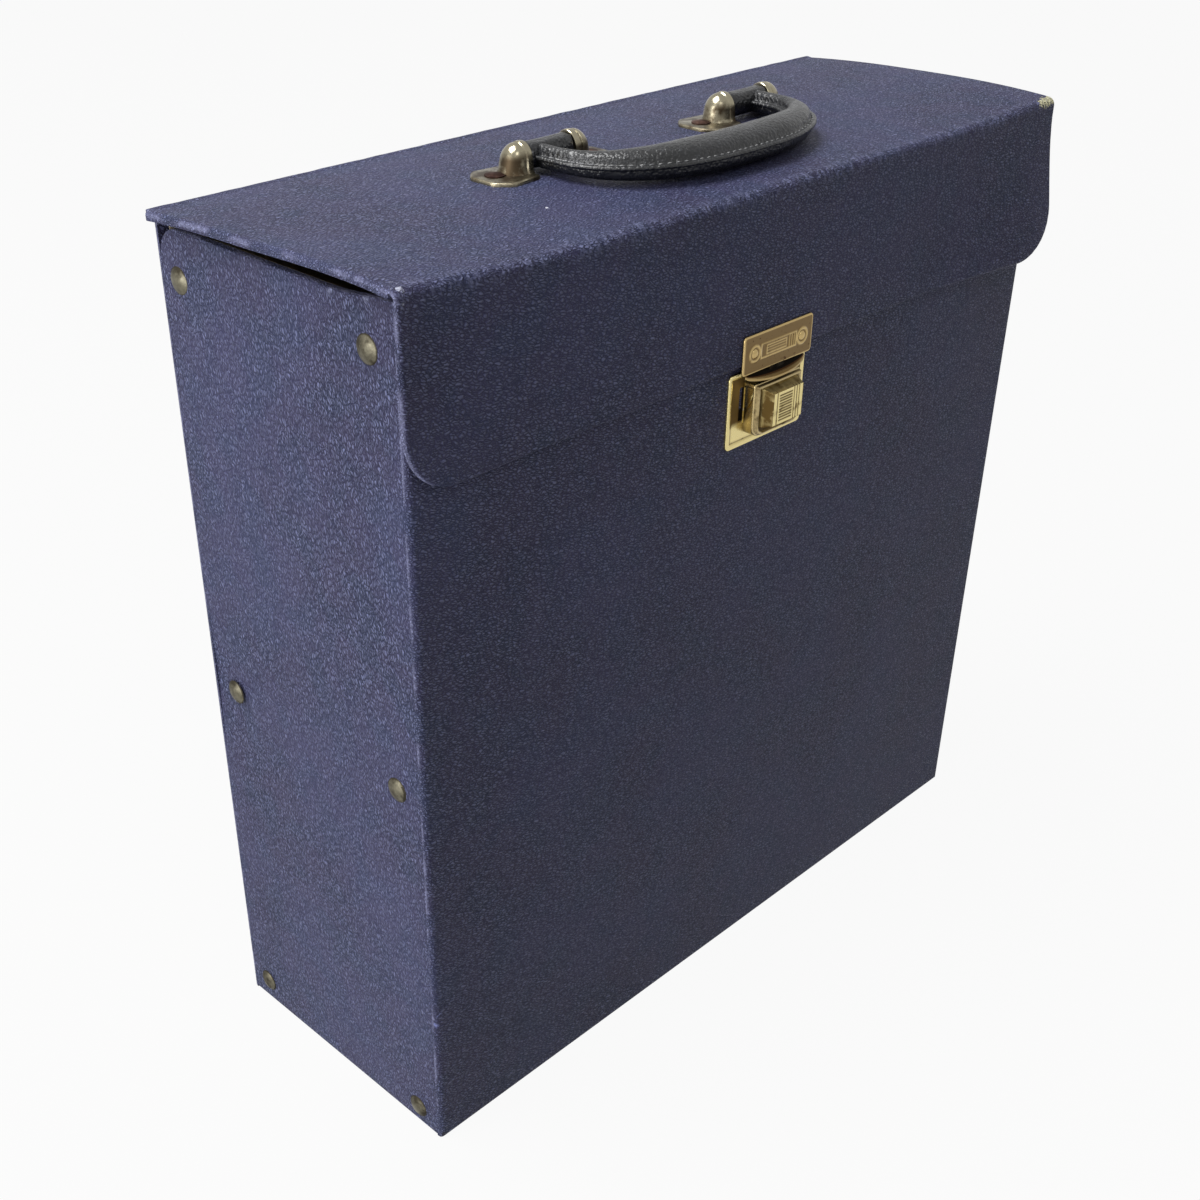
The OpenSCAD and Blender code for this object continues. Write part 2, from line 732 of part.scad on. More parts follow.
// One bracket of a pair, built for the side that lies away from the pair's middle towards +X
module bracket() color(antique_brass) difference() {
    near_cut = (bracket_d - bracket_near_d) / 2;
    union() {
        translate([hood_x, -bracket_d / 2, lid_top]) linear_extrude(bracket_t)
            polygon([
                [0, near_cut], [0, bracket_d - near_cut],
                [bracket_w - bracket_cut, bracket_d], [bracket_w, bracket_d - bracket_cut],
                [bracket_w, bracket_cut], [bracket_w - bracket_cut, 0]
            ]);
        facing_end(hood_x, rim_t) union() {
            translate([0, pin_z]) circle(rim_r);
            translate([-rim_r, lid_top]) square([2 * rim_r, pin_h]);
        }
        translate([hood_x + rim_t, 0, pin_z]) sphere(dome_r, $fn = 64);
        translate([hood_x + rim_t, 0, lid_top]) cylinder(r = dome_r, h = pin_h);
    }
    // the half of the dome inside the rim, the pin's blind bore and the rivet's hole
    block([-rim_r, -2 * rim_r, lid_top - cut], [hood_x, 2 * rim_r, pin_z + 2 * rim_r]);
    translate([hood_x - cut, 0, pin_z])
        rotate([0, 90, 0]) cylinder(r = pin_r + pin_fit, h = hood_bore_l + cut);
    translate([bracket_rivet_x, bracket_rivet_y, lid_top - cut])
        cylinder(d = bracket_shank_d + 2 * rivet_fit, h = bracket_t + 2 * cut);
}

module place_bracket(side, way)
    translate([side * pair_x, 0, 0]) on_side(way) bracket();

module bracket_rivets() color("#4a3022")
    for (side = [-1, 1], way = [-1, 1])
        translate([side * pair_x + way * bracket_rivet_x, bracket_rivet_y, lid_top + bracket_t])
            rivet(bracket_t + sheet_t + loose_fit + washer_t, bracket_head_d, bracket_head_h,
                bracket_shank_d, tail_d, tail_h);

module bracket_washers() color(steel_grey) difference() {
    for (side = [-1, 1], way = [-1, 1])
        translate([side * pair_x + way * bracket_rivet_x, bracket_rivet_y,
            lid_top - sheet_t - loose_fit - washer_t]) cylinder(d = washer_d, h = washer_t);
    translate([0, 0, -washer_t - 2 * cut]) bracket_holes();
}

// Lays what stands on z = 0 along the handle's axis, with the middle of its length at x
module along_pin(x, length) {
    translate([x - length / 2, 0, pin_z]) rotate([0, 90, 0]) children();
}

module handle_pin(side) color(steel_grey)
    along_pin(side * pair_x, pin_l) cylinder(r = pin_r, h = pin_l);

// ---- Handle ----

// Middle line of the grip seen from above: straight out of the left barrel, round the bow and back.
// u runs from 0 at the left barrel to 1 at the right one.
function bow(u) =
    let (a = 180 * (1 + u), c = cos(a), s = -sin(a))
    [sign(c) * leg_x * pow(abs(c), 2 / grip_power),
        -grip_bend - (grip_reach - grip_bend) * pow(abs(s), 2 / grip_power)];
function grip_path(i) =
    i == 0 ? [-leg_x, -grip_start] :
    i == grip_steps ? [leg_x, -grip_start] : bow((i - 1) / (grip_steps - 2));
function unit(v) = v / norm(v);
function heading(i) = unit(grip_path(min(i + 1, grip_steps)) - grip_path(max(i - 1, 0)));
function swell(i) =
    let (d = norm(grip_path(i) - [sign(grip_path(i).x) * leg_x, 0]),
        t = max(0, min(1, (d - swell_from) / (swell_to - swell_from))))
    t * t * (3 - 2 * t);
function half_w(i) = end_half_w + (grip_half_w - end_half_w) * swell(i);
function half_t(i) = end_half_t + (grip_half_t - end_half_t) * swell(i);

// A half section of the grip as [across, up]: an arch inset from the outer surface, which stands on
// the height foot; up is 1 for the upper half and -1 for the lower one
function arch(i, inset, foot) = [
    for (k = [0:arc_steps])
        let (a = 180 * k / arc_steps)
            [(half_w(i) - inset) * cos(a), max(foot, (half_t(i) - inset) * pow(sin(a), grip_round))]
];
function set_on_path(i, section, up) = [
    for (p = section)
        let (h = heading(i), q = grip_path(i) + p.x * [h.y, -h.x])
            [q.x, q.y, pin_z + up * p.y]
];
function reversed(list) = [for (k = [len(list) - 1:-1:0]) list[k]];
function turned(list, up) = up > 0 ? list : reversed(list);

function grip_points(sections, up) =
    [for (i = [0:grip_steps]) each turned(set_on_path(i, sections[i], up), up)];

module handle_leather(up) color(handle_black) {
    rings = grip_steps + 1;
    sides = 2 * (arc_steps + 1);
    sections = [for (i = [0:grip_steps])
        concat(arch(i, 0, loose_fit / 2), reversed(arch(i, leather_t, loose_fit / 2)))];
    polyhedron(grip_points(sections, up), concat(tube_walls(rings, sides), arch_ends(rings, sides)),
        convexity = 8);
}

module handle_padding(up) color(board_brown) {
    rings = grip_steps + 1;
    sides = arc_steps + 1;
    sections = [for (i = [0:grip_steps]) arch(i, leather_t + loose_fit, band_t / 2 + loose_fit)];
    polyhedron(grip_points(sections, up), concat(tube_walls(rings, sides), flat_ends(rings, sides)),
        convexity = 8);
}

module handle_core() color(steel_grey) {
    left = [for (i = [0:grip_steps]) let (h = heading(i)) grip_path(i) + band_w / 2 * [-h.y, h.x]];
    right = [for (i = [0:grip_steps]) let (h = heading(i)) grip_path(i) - band_w / 2 * [-h.y, h.x]];
    translate([0, 0, pin_z - band_t / 2]) linear_extrude(band_t) polygon(concat(left, reversed(right)));
    for (side = [-1, 1]) difference() {
        union() {
            along_pin(side * leg_x, eye_l) cylinder(d = eye_d, h = eye_l);
            block([side * leg_x - band_w / 2, -grip_start, pin_z - band_t / 2],
                [side * leg_x + band_w / 2, 0, pin_z + band_t / 2]);
        }
        along_pin(side * leg_x, eye_l + 2 * cut) cylinder(r = pin_r + pin_fit, h = eye_l + 2 * cut);
    }
}

module handle_loop(side) color(handle_black) difference() {
    bore_l = barrel_l + 2 * cut;
    room_l = eye_l + 2 * loose_fit;
    leg_room = end_half_w + loose_fit;
    band_room = band_w / 2 + loose_fit;
    along_pin(side * pair_x, barrel_l) cylinder(d = barrel_d, h = barrel_l);
    along_pin(side * pair_x, bore_l) cylinder(r = pin_r + pin_fit, h = bore_l);
    along_pin(side * leg_x, room_l) cylinder(d = eye_d + 2 * loose_fit, h = room_l);
    block([side * leg_x - leg_room, -barrel_d, pin_z - barrel_d],
        [side * leg_x + leg_room, loose_fit - grip_start, pin_z + barrel_d]);
    block([side * leg_x - band_room, -barrel_d, pin_z - band_t / 2 - loose_fit],
        [side * leg_x + band_room, 0, pin_z + band_t / 2 + loose_fit]);
}

front_board();
back_board();
base_board();
end_board(-1);  // left_end_board
end_board(1);  // right_end_board
front_cover();
back_cover();
base_cover();
end_cover(-1);  // left_end_cover
end_cover(1);  // right_end_cover
flange(-1, -1);  // left_front_flange
flange(-1, 1);  // left_rear_flange
flange(1, -1);  // right_front_flange
flange(1, 1);  // right_rear_flange
front_lining();
back_lining();
base_lining();
end_lining(-1);  // left_end_lining
end_lining(1);  // right_end_lining
end_rivets(-1);  // left_end_rivets
end_rivets(1);  // right_end_rivets
end_washers(-1);  // left_end_washers
end_washers(1);  // right_end_washers
lock_base_plate();
lock_casing();
lock_rivets();
lock_backing_plate();
lock_springs();
lock_button();
lock_slider();
lid_board();
lid_cover();
lid_lining();
flap_fold_cloth();
flap_board();
flap_cover();
flap_lining();
hasp_plate();
hasp_rivets();
place_bracket(-1, -1);  // left_outer_bracket
place_bracket(-1, 1);  // left_inner_bracket
place_bracket(1, -1);  // right_inner_bracket
place_bracket(1, 1);  // right_outer_bracket
bracket_rivets();
bracket_washers();
handle_pin(-1);  // left_handle_pin
handle_pin(1);  // right_handle_pin
handle_core();
handle_padding(1);  // upper_handle_padding
handle_padding(-1);  // lower_handle_padding
handle_leather(1);  // handle_top_cover
handle_leather(-1);  // handle_bottom_cover
handle_loop(-1);  // left_handle_loop
handle_loop(1);  // right_handle_loop
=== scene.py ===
# Looks of a record carrying case: covered boards with a grained navy leathercloth, aged and bright brass
# fittings, and a stitched black handle. Everything is in metres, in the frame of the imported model:
# +X to the right, the front with the lock faces -Y, +Z up, the origin in the middle of the underside.
import json
import math

import bmesh
import bpy
from mathutils import Matrix, Vector, noise


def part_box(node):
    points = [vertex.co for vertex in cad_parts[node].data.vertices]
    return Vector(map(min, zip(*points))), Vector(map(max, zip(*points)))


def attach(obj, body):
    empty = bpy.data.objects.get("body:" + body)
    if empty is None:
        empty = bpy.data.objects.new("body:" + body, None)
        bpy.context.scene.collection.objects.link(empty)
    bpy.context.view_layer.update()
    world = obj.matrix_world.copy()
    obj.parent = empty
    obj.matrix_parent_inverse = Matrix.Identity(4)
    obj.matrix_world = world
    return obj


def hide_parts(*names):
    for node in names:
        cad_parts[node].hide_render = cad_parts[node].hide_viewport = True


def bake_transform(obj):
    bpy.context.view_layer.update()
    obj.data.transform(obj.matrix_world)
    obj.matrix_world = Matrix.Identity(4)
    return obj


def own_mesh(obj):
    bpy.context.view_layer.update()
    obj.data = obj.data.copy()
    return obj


MM = 0.001
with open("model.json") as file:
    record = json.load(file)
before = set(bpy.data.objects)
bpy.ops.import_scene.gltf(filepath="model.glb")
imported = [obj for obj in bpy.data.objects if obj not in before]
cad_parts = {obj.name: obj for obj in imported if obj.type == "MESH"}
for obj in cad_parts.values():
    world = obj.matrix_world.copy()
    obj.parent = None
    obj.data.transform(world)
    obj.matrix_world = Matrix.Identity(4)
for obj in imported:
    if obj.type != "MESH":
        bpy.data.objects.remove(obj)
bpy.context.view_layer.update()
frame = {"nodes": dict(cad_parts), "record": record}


# ---- Camera, light and floor ----

def make_camera():
    """The photograph's view of the case's left front corner, fitted to the case's corners and rivets."""
    data = bpy.data.cameras.new("camera")
    data.sensor_width = 36
    data.lens = 47.53
    data.shift_x, data.shift_y = 0.0404, 0.0692
    camera = bpy.data.objects.new("camera", data)
    camera.location = (-0.4264, -0.3805, 0.4649)
    camera.rotation_euler = (math.radians(57.59), 0, math.radians(-44.86))
    bpy.context.scene.collection.objects.link(camera)
    bpy.context.scene.camera = camera


def add_light(name, place, size, power):
    """A square soft box that faces the middle of the case: place and width in metres, power in watts."""
    data = bpy.data.lights.new(name, "AREA")
    data.size = size
    data.energy = power
    light = bpy.data.objects.new(name, data)
    light.location = place
    aim = Vector((0, 0, 0.17)) - Vector(place)
    light.rotation_euler = aim.to_track_quat("-Z", "Y").to_euler()
    bpy.context.scene.collection.objects.link(light)


make_camera()
add_light("key_light", (-2.0, 0.3, 0.75), 1.2, 31)
add_light("top_light", (-0.7, 0.5, 2.2), 1.2, 64)
add_light("fill_light", (-0.7, -1.3, 1.9), 0.7, 6.5)
add_light("low_light", (-0.85, -0.30, 0.14), 0.7, 4)
bpy.context.scene.view_settings.view_transform = "Standard"


# ---- Materials ----

def linear(code, alpha=1.0):
    """An sRGB colour such as '#2b2d49' as the linear one that shaders take."""
    parts = [int(code[i:i + 2], 16) / 255 for i in (1, 3, 5)]
    return (*[p / 12.92 if p <= 0.04045 else ((p + 0.055) / 1.055) ** 2.4 for p in parts], alpha)


def add(tree, kind, sockets=(), **settings):
    """Adds a node with its settings. The sockets are named, or in the order that the node shows them. Each
    gets a value, or a link from an output, or from the first output that a node shows."""
    made = tree.nodes.new("ShaderNode" + kind)
    for key, value in settings.items():
        setattr(made, key, value)
    if isinstance(sockets, dict):
        pairs = [(made.inputs[key], value) for key, value in sockets.items()]
    else:
        pairs = list(zip([socket for socket in made.inputs if socket.enabled], sockets))
    for socket, value in pairs:
        if isinstance(value, bpy.types.Node):
            value = next(output for output in value.outputs if output.enabled)
        if isinstance(value, bpy.types.NodeSocket):
            tree.links.new(value, socket)
        else:
            socket.default_value = value
    return made


def empty_tree(owner):
    """The node tree of a material or world, with nothing in it."""
    owner.use_nodes = True
    owner.node_tree.nodes.clear()
    return owner.node_tree


def new_material(name):
    """A material, its empty tree, and the place on the piece that its patterns follow."""
    material = bpy.data.materials.new(name)
    tree = empty_tree(material)
    return material, tree, add(tree, "TexCoord").outputs["Object"]


def grain_turn(along, normal):
    """The turn that lays the grain's long way along one direction of a face with the given normal."""
    along, normal = Vector(along).normalized(), Vector(normal)
    return Matrix((along, normal.cross(along), normal)).to_euler()


# The rolled grain: pebbles 0.82 mm wide, and longer than they are wide
GRAIN_W = 0.82 * MM
GRAIN_SLIM = 0.38
# It runs across the front and the lid, and steeply down towards the front on the ends
GRAIN_ACROSS = grain_turn((1, 0, -0.3), (0, 1, 0))
GRAIN_ON_ENDS = grain_turn((0, -0.3, -1), (1, 0, 0))

# Scuffs of the cloth, as place, radius, softness and colour, in mm
SCUFFS = [
    # the rubbed corner over the left end
    ((-165.5, -60.5, 327.5), 0.3, 1.3, "#c3c6d6"),
    ((-164.0, -56.0, 328.0), 0.2, 0.9, "#a9acc2"),
    ((-165.5, -61.8, 324.0), 0.2, 1.0, "#a9acc2"),
    # low on the left front edge
    ((-165.0, -59.0, 58.0), 0.7, 0.9, "#777eb0"),
    ((-163.2, -59.5, 62.5), 0.2, 0.8, "#6a7098"),
    # two flecks on the lid
    ((-81.7, -32.3, 327.3), 0.5, 0.6, "#c9cad2"),
    ((-54.0, -48.5, 326.2), 0.2, 0.6, "#9093aa"),
    # the left end's top edge
    ((-165.5, 56.0, 322.5), 0.6, 2.0, "#7d80a0"),
    ((-165.5, -30.0, 320.3), 0.2, 1.6, "#70748f"),
    ((-165.5, -46.0, 322.2), 0.2, 1.8, "#787c96"),
    # a dark spot at the foot of the left front edge
    ((-164.0, -59.5, 1.5), 0.6, 0.8, "#23202a"),
    # the torn corner, where the bare board shows along the fold
    ((166.0, -61.0, 325.9), 2.3, 0.4, "#bab695"),
    ((163.0, -61.2, 325.8), 2.0, 0.4, "#bab695"),
    ((160.3, -61.5, 325.5), 1.7, 0.4, "#bab695"),
    ((158.0, -61.8, 325.3), 1.2, 0.4, "#bab695"),
]


def leathercloth(name, turn):
    """Leathercloth on board: a cotton cloth coated with dyed paint and rolled with a fine morocco grain.
    The ridges are polished, with a painted highlight on their tops and painted shade in the creases between
    them. Edges are rubbed paler, partly real wear and partly a painted highlight line, and the tops of the
    crumples on folds carry a painted highlight."""
    material, tree, where = new_material(name)
    # the pebbles stray from the rolled pattern by up to 0.75 mm
    stray = add(tree, "TexNoise", {"Vector": where, "Scale": 1 / (2.2 * MM), "Detail": 1.0}).outputs["Color"]
    stray = add(tree, "VectorMath", (stray, (0.5, 0.5, 0.5)), operation="SUBTRACT")
    stray = add(tree, "VectorMath", (stray, 1.5 * MM), operation="SCALE")
    strayed = add(tree, "VectorMath", (where, stray), operation="ADD")
    turned = add(tree, "Mapping", {"Vector": strayed, "Rotation": turn})
    long_grain = add(tree, "Mapping", {"Vector": turned, "Scale": (GRAIN_SLIM, 1, 1)})
    creases = add(tree, "TexVoronoi", {"Vector": long_grain, "Scale": 1 / GRAIN_W},
                  feature="DISTANCE_TO_EDGE")
    pebbles = add(tree, "MapRange", (creases, 0.03, 0.27))
    # some stand higher than others
    uneven = add(tree, "TexNoise", {"Vector": long_grain, "Scale": 1 / (1.1 * MM), "Detail": 1.5})
    stands = add(tree, "MapRange", (uneven, 0.36, 0.60, 0.35, 1.0))
    grain = add(tree, "Math", (pebbles, stands), operation="MULTIPLY")
    # painted highlight and shade: the pebbles' tops, and the pebbles that stand higher, are coloured lighter
    # and the creases between them darker
    colour = add(tree, "Mix", (grain, linear("#10122c"), linear("#616687")), data_type="RGBA")

    # the dye has faded to violet and to green in patches, and slow clouds that follow the board's gentle
    # hills are tinted a mid navy
    patches = add(tree, "TexNoise", {"Vector": where, "Scale": 1 / (14 * MM), "Detail": 3.0})
    hills = add(tree, "TexNoise", {"Vector": where, "Scale": 1 / (55 * MM), "Detail": 1.0})
    for cloud, low, high, share, code in [(patches, 0.40, 0.62, 0.22, "#453c58"),
                                          (patches, 0.50, 0.32, 0.12, "#36465f"),
                                          (hills, 0.4, 0.6, 0.16, "#454a70")]:
        tinted = add(tree, "MapRange", (cloud, low, high, 0, share))
        colour = add(tree, "Mix", (tinted, colour, linear(code)), data_type="RGBA")

    # rubbed edges, broken up by the grain: partly real wear and partly a painted highlight line along the
    # edges
    wear_and_sheen = add(tree, "Attribute", attribute_name="wear_and_sheen").outputs["Fac"]
    broken = add(tree, "MapRange", (patches, 0.36, 0.56))
    rubbed = add(tree, "Math", (wear_and_sheen, broken), operation="MULTIPLY")
    rubbed = add(tree, "Math", (rubbed, uneven), operation="MULTIPLY")
    rubbed = add(tree, "MapRange", (rubbed, 0.15, 0.5, 0, 0.6))
    colour = add(tree, "Mix", (rubbed, colour, linear("#7d80a0")), data_type="RGBA")

    # scuffs with ragged outlines
    ragged = add(tree, "TexNoise", {"Vector": where, "Scale": 1 / (1.6 * MM), "Detail": 2.0}).outputs["Color"]
    ragged = add(tree, "VectorMath", (ragged, (0.5, 0.5, 0.5)), operation="SUBTRACT")
    ragged = add(tree, "VectorMath", (ragged, 5 * MM), operation="SCALE")
    near = add(tree, "VectorMath", (where, ragged), operation="ADD")
    for centre, radius, soft, code in SCUFFS:
        away = add(tree, "VectorMath", (near, Vector(centre) * MM), operation="DISTANCE")
        scuffed = add(tree, "MapRange", (away, (radius + soft) * MM, radius * MM))
        colour = add(tree, "Mix", (scuffed, colour, linear(code)), data_type="RGBA")

    # crumpled cloth along the folds, with a painted highlight on the tops of the crumples
    fold = add(tree, "Attribute", attribute_name="fold").outputs["Fac"]
    across = add(tree, "Mapping", {"Vector": where, "Scale": (1, 0.3, 0.3)})
    wrinkles = add(tree, "TexNoise", {"Vector": across, "Scale": 1 / (1.2 * MM), "Detail": 2.0,
                                      "Distortion": 0.8})
    creased = add(tree, "MapRange", (wrinkles, 0.38, 0.62))
    creased = add(tree, "Math", (creased, fold), operation="MULTIPLY")
    tops = add(tree, "MapRange", (wrinkles, 0.52, 0.62))
    on_fold = add(tree, "MapRange", (fold, 0.35, 0.8, 0, 0.35))
    painted_glints = add(tree, "Math", (tops, on_fold), operation="MULTIPLY")
    colour = add(tree, "Mix", (painted_glints, colour, linear("#7a7ea0")), data_type="RGBA")

    normal = add(tree, "Bump", {"Height": hills, "Strength": 0.35, "Distance": 1.4 * MM})
    normal = add(tree, "Bump", {"Height": creased, "Strength": 0.7, "Distance": 0.4 * MM, "Normal": normal})
    normal = add(tree, "Bump", {"Height": grain, "Strength": 1.0, "Distance": 0.42 * MM, "Normal": normal})
    roughness = add(tree, "MapRange", (grain, 0, 1, 0.60, 0.42))
    shader = add(tree, "BsdfPrincipled", {"Base Color": colour, "Roughness": roughness,
                                          "Specular IOR Level": 0.20, "Normal": normal})
    add(tree, "OutputMaterial", {"Surface": shader})
    return material


def brass(name, clean, tarnish, share, roughness):
    """Pressed sheet brass. Tarnish gathers in clouds and in what is pressed in, and the same darkening serves
    as painted shade on some pieces. What stands out is rubbed.
    """
    material, tree, where = new_material(name)
    clouds = add(tree, "TexNoise", {"Vector": where, "Scale": 1 / (7 * MM), "Detail": 5.0, "Roughness": 0.65})
    specks = add(tree, "TexNoise", {"Vector": where, "Scale": 1 / (0.9 * MM), "Detail": 2.0})
    dull = add(tree, "MapRange", (clouds, 0.62 - share * 0.5, 0.80 - share * 0.4))
    hollow_and_shade = add(tree, "Attribute", attribute_name="hollow_and_shade").outputs["Fac"]
    darkened = add(tree, "Math", (hollow_and_shade, 1.2), operation="MULTIPLY")
    dull = add(tree, "Math", (dull, darkened), operation="ADD")
    spotted = add(tree, "MapRange", (specks, 0.66, 0.74, 0, 0.35))
    dull = add(tree, "Math", (dull, spotted), operation="ADD")
    wear_and_sheen = add(tree, "Attribute", attribute_name="wear_and_sheen").outputs["Fac"]
    rubbed = add(tree, "Math", (wear_and_sheen, 1.5), operation="MULTIPLY")
    dull = add(tree, "Math", (dull, rubbed), operation="SUBTRACT")
    dull = add(tree, "MapRange", (dull, 0, 1))
    colour = add(tree, "Mix", (dull, linear(clean), linear(tarnish)), data_type="RGBA")
    skin = add(tree, "Math", (clouds, 2.0), operation="MULTIPLY")
    skin = add(tree, "Math", (skin, specks), operation="ADD")
    bump = add(tree, "Bump", {"Height": skin, "Strength": 0.25, "Distance": 0.10 * MM})
    gloss = add(tree, "MapRange", (dull, 0, 1, roughness, roughness + 0.28))
    shader = add(tree, "BsdfPrincipled", {"Base Color": colour, "Metallic": 1.0, "Roughness": gloss,
                                          "Normal": bump})
    add(tree, "OutputMaterial", {"Surface": shader})
    return material


def handle_leather():
    """Black pigmented split leather with a fine pebble grain, with a grey painted highlight on the raised
    tops of its creases.
    """
    material, tree, where = new_material("grained_handle_leather")
    pebbles = add(tree, "TexVoronoi", {"Vector": where, "Scale": 1 / (0.95 * MM), "Randomness": 1.0},
                  feature="SMOOTH_F1")
    creases = add(tree, "TexNoise", {"Vector": where, "Scale": 1 / (1.3 * MM), "Detail": 2.0,
                                     "Distortion": 0.6})
    clouds = add(tree, "TexNoise", {"Vector": where, "Scale": 1 / (11 * MM), "Detail": 3.0})
    clouded = add(tree, "MapRange", (clouds, 0.35, 0.65))
    colour = add(tree, "Mix", (clouded, linear("#0c0d0f"), linear("#151619")), data_type="RGBA")
    greyed = add(tree, "MapRange", (creases, 0.54, 0.68, 0, 0.4))
    colour = add(tree, "Mix", (greyed, colour, linear("#36383d")), data_type="RGBA")
    height = add(tree, "Math", (creases, 1.2), operation="MULTIPLY")
    height = add(tree, "Math", (height, pebbles), operation="SUBTRACT")
    bump = add(tree, "Bump", {"Height": height, "Strength": 1.0, "Distance": 0.3 * MM})
    roughness = add(tree, "MapRange", (creases, 0.3, 0.7, 0.38, 0.25))
    shader = add(tree, "BsdfPrincipled", {"Base Color": colour, "Roughness": roughness, "Normal": bump})
    add(tree, "OutputMaterial", {"Surface": shader})
    return material


def thread():
    """Waxed linen thread, two strands twisted: a pale dull stitch with a slanting lay."""
    material, tree, where = new_material("waxed_linen_thread")
    lay = add(tree, "TexWave", {"Vector": where, "Scale": 1 / (3.2 * MM), "Distortion": 2.0},
              bands_direction="DIAGONAL").outputs["Fac"]
    colour = add(tree, "Mix", (lay, linear("#606164"), linear("#8d8d8d")), data_type="RGBA")
    bump = add(tree, "Bump", {"Height": lay, "Strength": 0.5, "Distance": 0.08 * MM})
    shader = add(tree, "BsdfPrincipled", {"Base Color": colour, "Roughness": 0.7, "Normal": bump})
    add(tree, "OutputMaterial", {"Surface": shader})
    return material


def fibrous(name, base, fibre, grain, roughness, depth):
    """Pressed paper pulp: a dull surface with long flat fibres in it, at the width of grain."""
    material, tree, where = new_material(name)
    laid = add(tree, "Mapping", {"Vector": where, "Scale": (0.25, 1, 1)})
    fibres = add(tree, "TexNoise", {"Vector": laid, "Scale": 1 / grain, "Detail": 4.0, "Roughness": 0.7})
    stains = add(tree, "TexNoise", {"Vector": where, "Scale": 1 / (45 * MM), "Detail": 3.0})
    showing = add(tree, "MapRange", (fibres, 0.35, 0.65))
    colour = add(tree, "Mix", (showing, linear(base), linear(fibre)), data_type="RGBA")
    stained = add(tree, "MapRange", (stains, 0.5, 0.75, 0, 0.25))
    colour = add(tree, "Mix", (stained, colour, linear(base)), data_type="RGBA")
    bump = add(tree, "Bump", {"Height": fibres, "Strength": 0.4, "Distance": depth})
    shader = add(tree, "BsdfPrincipled", {"Base Color": colour, "Roughness": roughness, "Normal": bump})
    add(tree, "OutputMaterial", {"Surface": shader})
    return material


def drawn_steel():
    """Bright drawn and pressed mild steel, with fine drawing lines and a grey bloom."""
    material, tree, where = new_material("drawn_steel")
    along = add(tree, "Mapping", {"Vector": where, "Scale": (0.05, 1, 1)})
    drawn = add(tree, "TexNoise", {"Vector": along, "Scale": 1 / (0.4 * MM), "Detail": 2.0})
    bloom = add(tree, "TexNoise", {"Vector": where, "Scale": 1 / (6 * MM), "Detail": 4.0})
    greyed = add(tree, "MapRange", (bloom, 0.4, 0.7))
    colour = add(tree, "Mix", (greyed, linear("#a9acae"), linear("#7d7a75")), data_type="RGBA")
    roughness = add(tree, "MapRange", (drawn, 0.3, 0.7, 0.28, 0.45))
    shader = add(tree, "BsdfPrincipled", {"Base Color": colour, "Metallic": 1.0, "Roughness": roughness})
    add(tree, "OutputMaterial", {"Surface": shader})
    return material


CLOTH = leathercloth("morocco_grained_leathercloth", GRAIN_ACROSS)
END_CLOTH = leathercloth("morocco_grained_leathercloth_on_ends", GRAIN_ON_ENDS)
# The lock's plate and button, which thumbs keep bright
BRIGHT = brass("rubbed_bright_brass", "#d8c88e", "#5d4a28", 0.14, 0.24)
# The lock's tray, gone brown in the air
AGED = brass("browned_brass", "#b3a176", "#3d2d18", 0.20, 0.27)
# The handle's brackets, nickelled once and worn through to the brass
HOOD = brass("aged_nickel_brass", "#98917c", "#41372a", 0.52, 0.19)
# The hasp: brown where it is pressed in and rubbed on its raised lines
HASP = brass("browned_pressed_brass", "#b8a06e", "#432a13", 0.04, 0.26)
# The end rivets, dipped in a bronze lacquer
BRONZE = brass("antique_bronze_rivet", "#6f6b5c", "#38342b", 0.50, 0.42)
# Painted shade: a near-black brass for what is deep in the slots, the hasp's lip under the plate and the
# tongue behind it
SHADE_BRASS = brass("brass_painted_as_shade", "#2c241a", "#120e0a", 0.6, 0.45)
# The bracket rivets, burnt red brown
BROWNED = brass("burnt_copper_rivet", "#6a4f44", "#33231f", 0.65, 0.40)
LEATHER = handle_leather()
THREAD = thread()
# Calendered paper, rough-pressed board and loose pulp, from fine to coarse
PAPER = fibrous("lining_paper", "#b5ab94", "#c6bda8", 0.6 * MM, 0.85, 0.05 * MM)
FIBREBOARD = fibrous("fibreboard", "#6f5439", "#8a6c4c", 0.35 * MM, 0.9, 0.08 * MM)
FILLER = fibrous("pulp_filler", "#7d6448", "#957b5c", 0.5 * MM, 0.95, 0.08 * MM)
STEEL = drawn_steel()
SLOT_MATERIALS = {
    "fibreboard": FIBREBOARD, "leathercloth": CLOTH, "paper_lining": PAPER, "rivet_bronze": BRONZE,
    "steel": STEEL, "bright_brass": BRIGHT, "aged_brass": AGED, "bracket_brass": HOOD,
    "browned_rivet": BROWNED, "handle_leather": LEATHER, "handle_filler": FILLER,
}


# ---- Floor and backdrop ----

def make_floor():
    """A wide pale floor that the camera sees as almost white, with the case's soft shadow on it."""
    bm = bmesh.new()
    bmesh.ops.create_grid(bm, x_segments=1, y_segments=1, size=6)
    mesh = bpy.data.meshes.new("floor")
    bm.to_mesh(mesh)
    bm.free()
    floor = bpy.data.objects.new("floor", mesh)
    bpy.context.scene.collection.objects.link(floor)
    material = bpy.data.materials.new("white_paper_sweep")
    tree = empty_tree(material)
    pale = add(tree, "BsdfDiffuse", {"Color": linear("#8f8f8d")})
    white = add(tree, "Emission", {"Color": (1, 1, 1, 1), "Strength": 1.0})
    rays = add(tree, "LightPath").outputs
    seen = add(tree, "Math", (rays["Is Camera Ray"], rays["Is Glossy Ray"]), operation="MAXIMUM")
    seen = add(tree, "Math", (seen, 0.94), operation="MULTIPLY")
    add(tree, "OutputMaterial", {"Surface": add(tree, "MixShader", (seen, pale, white))})
    mesh.materials.append(material)


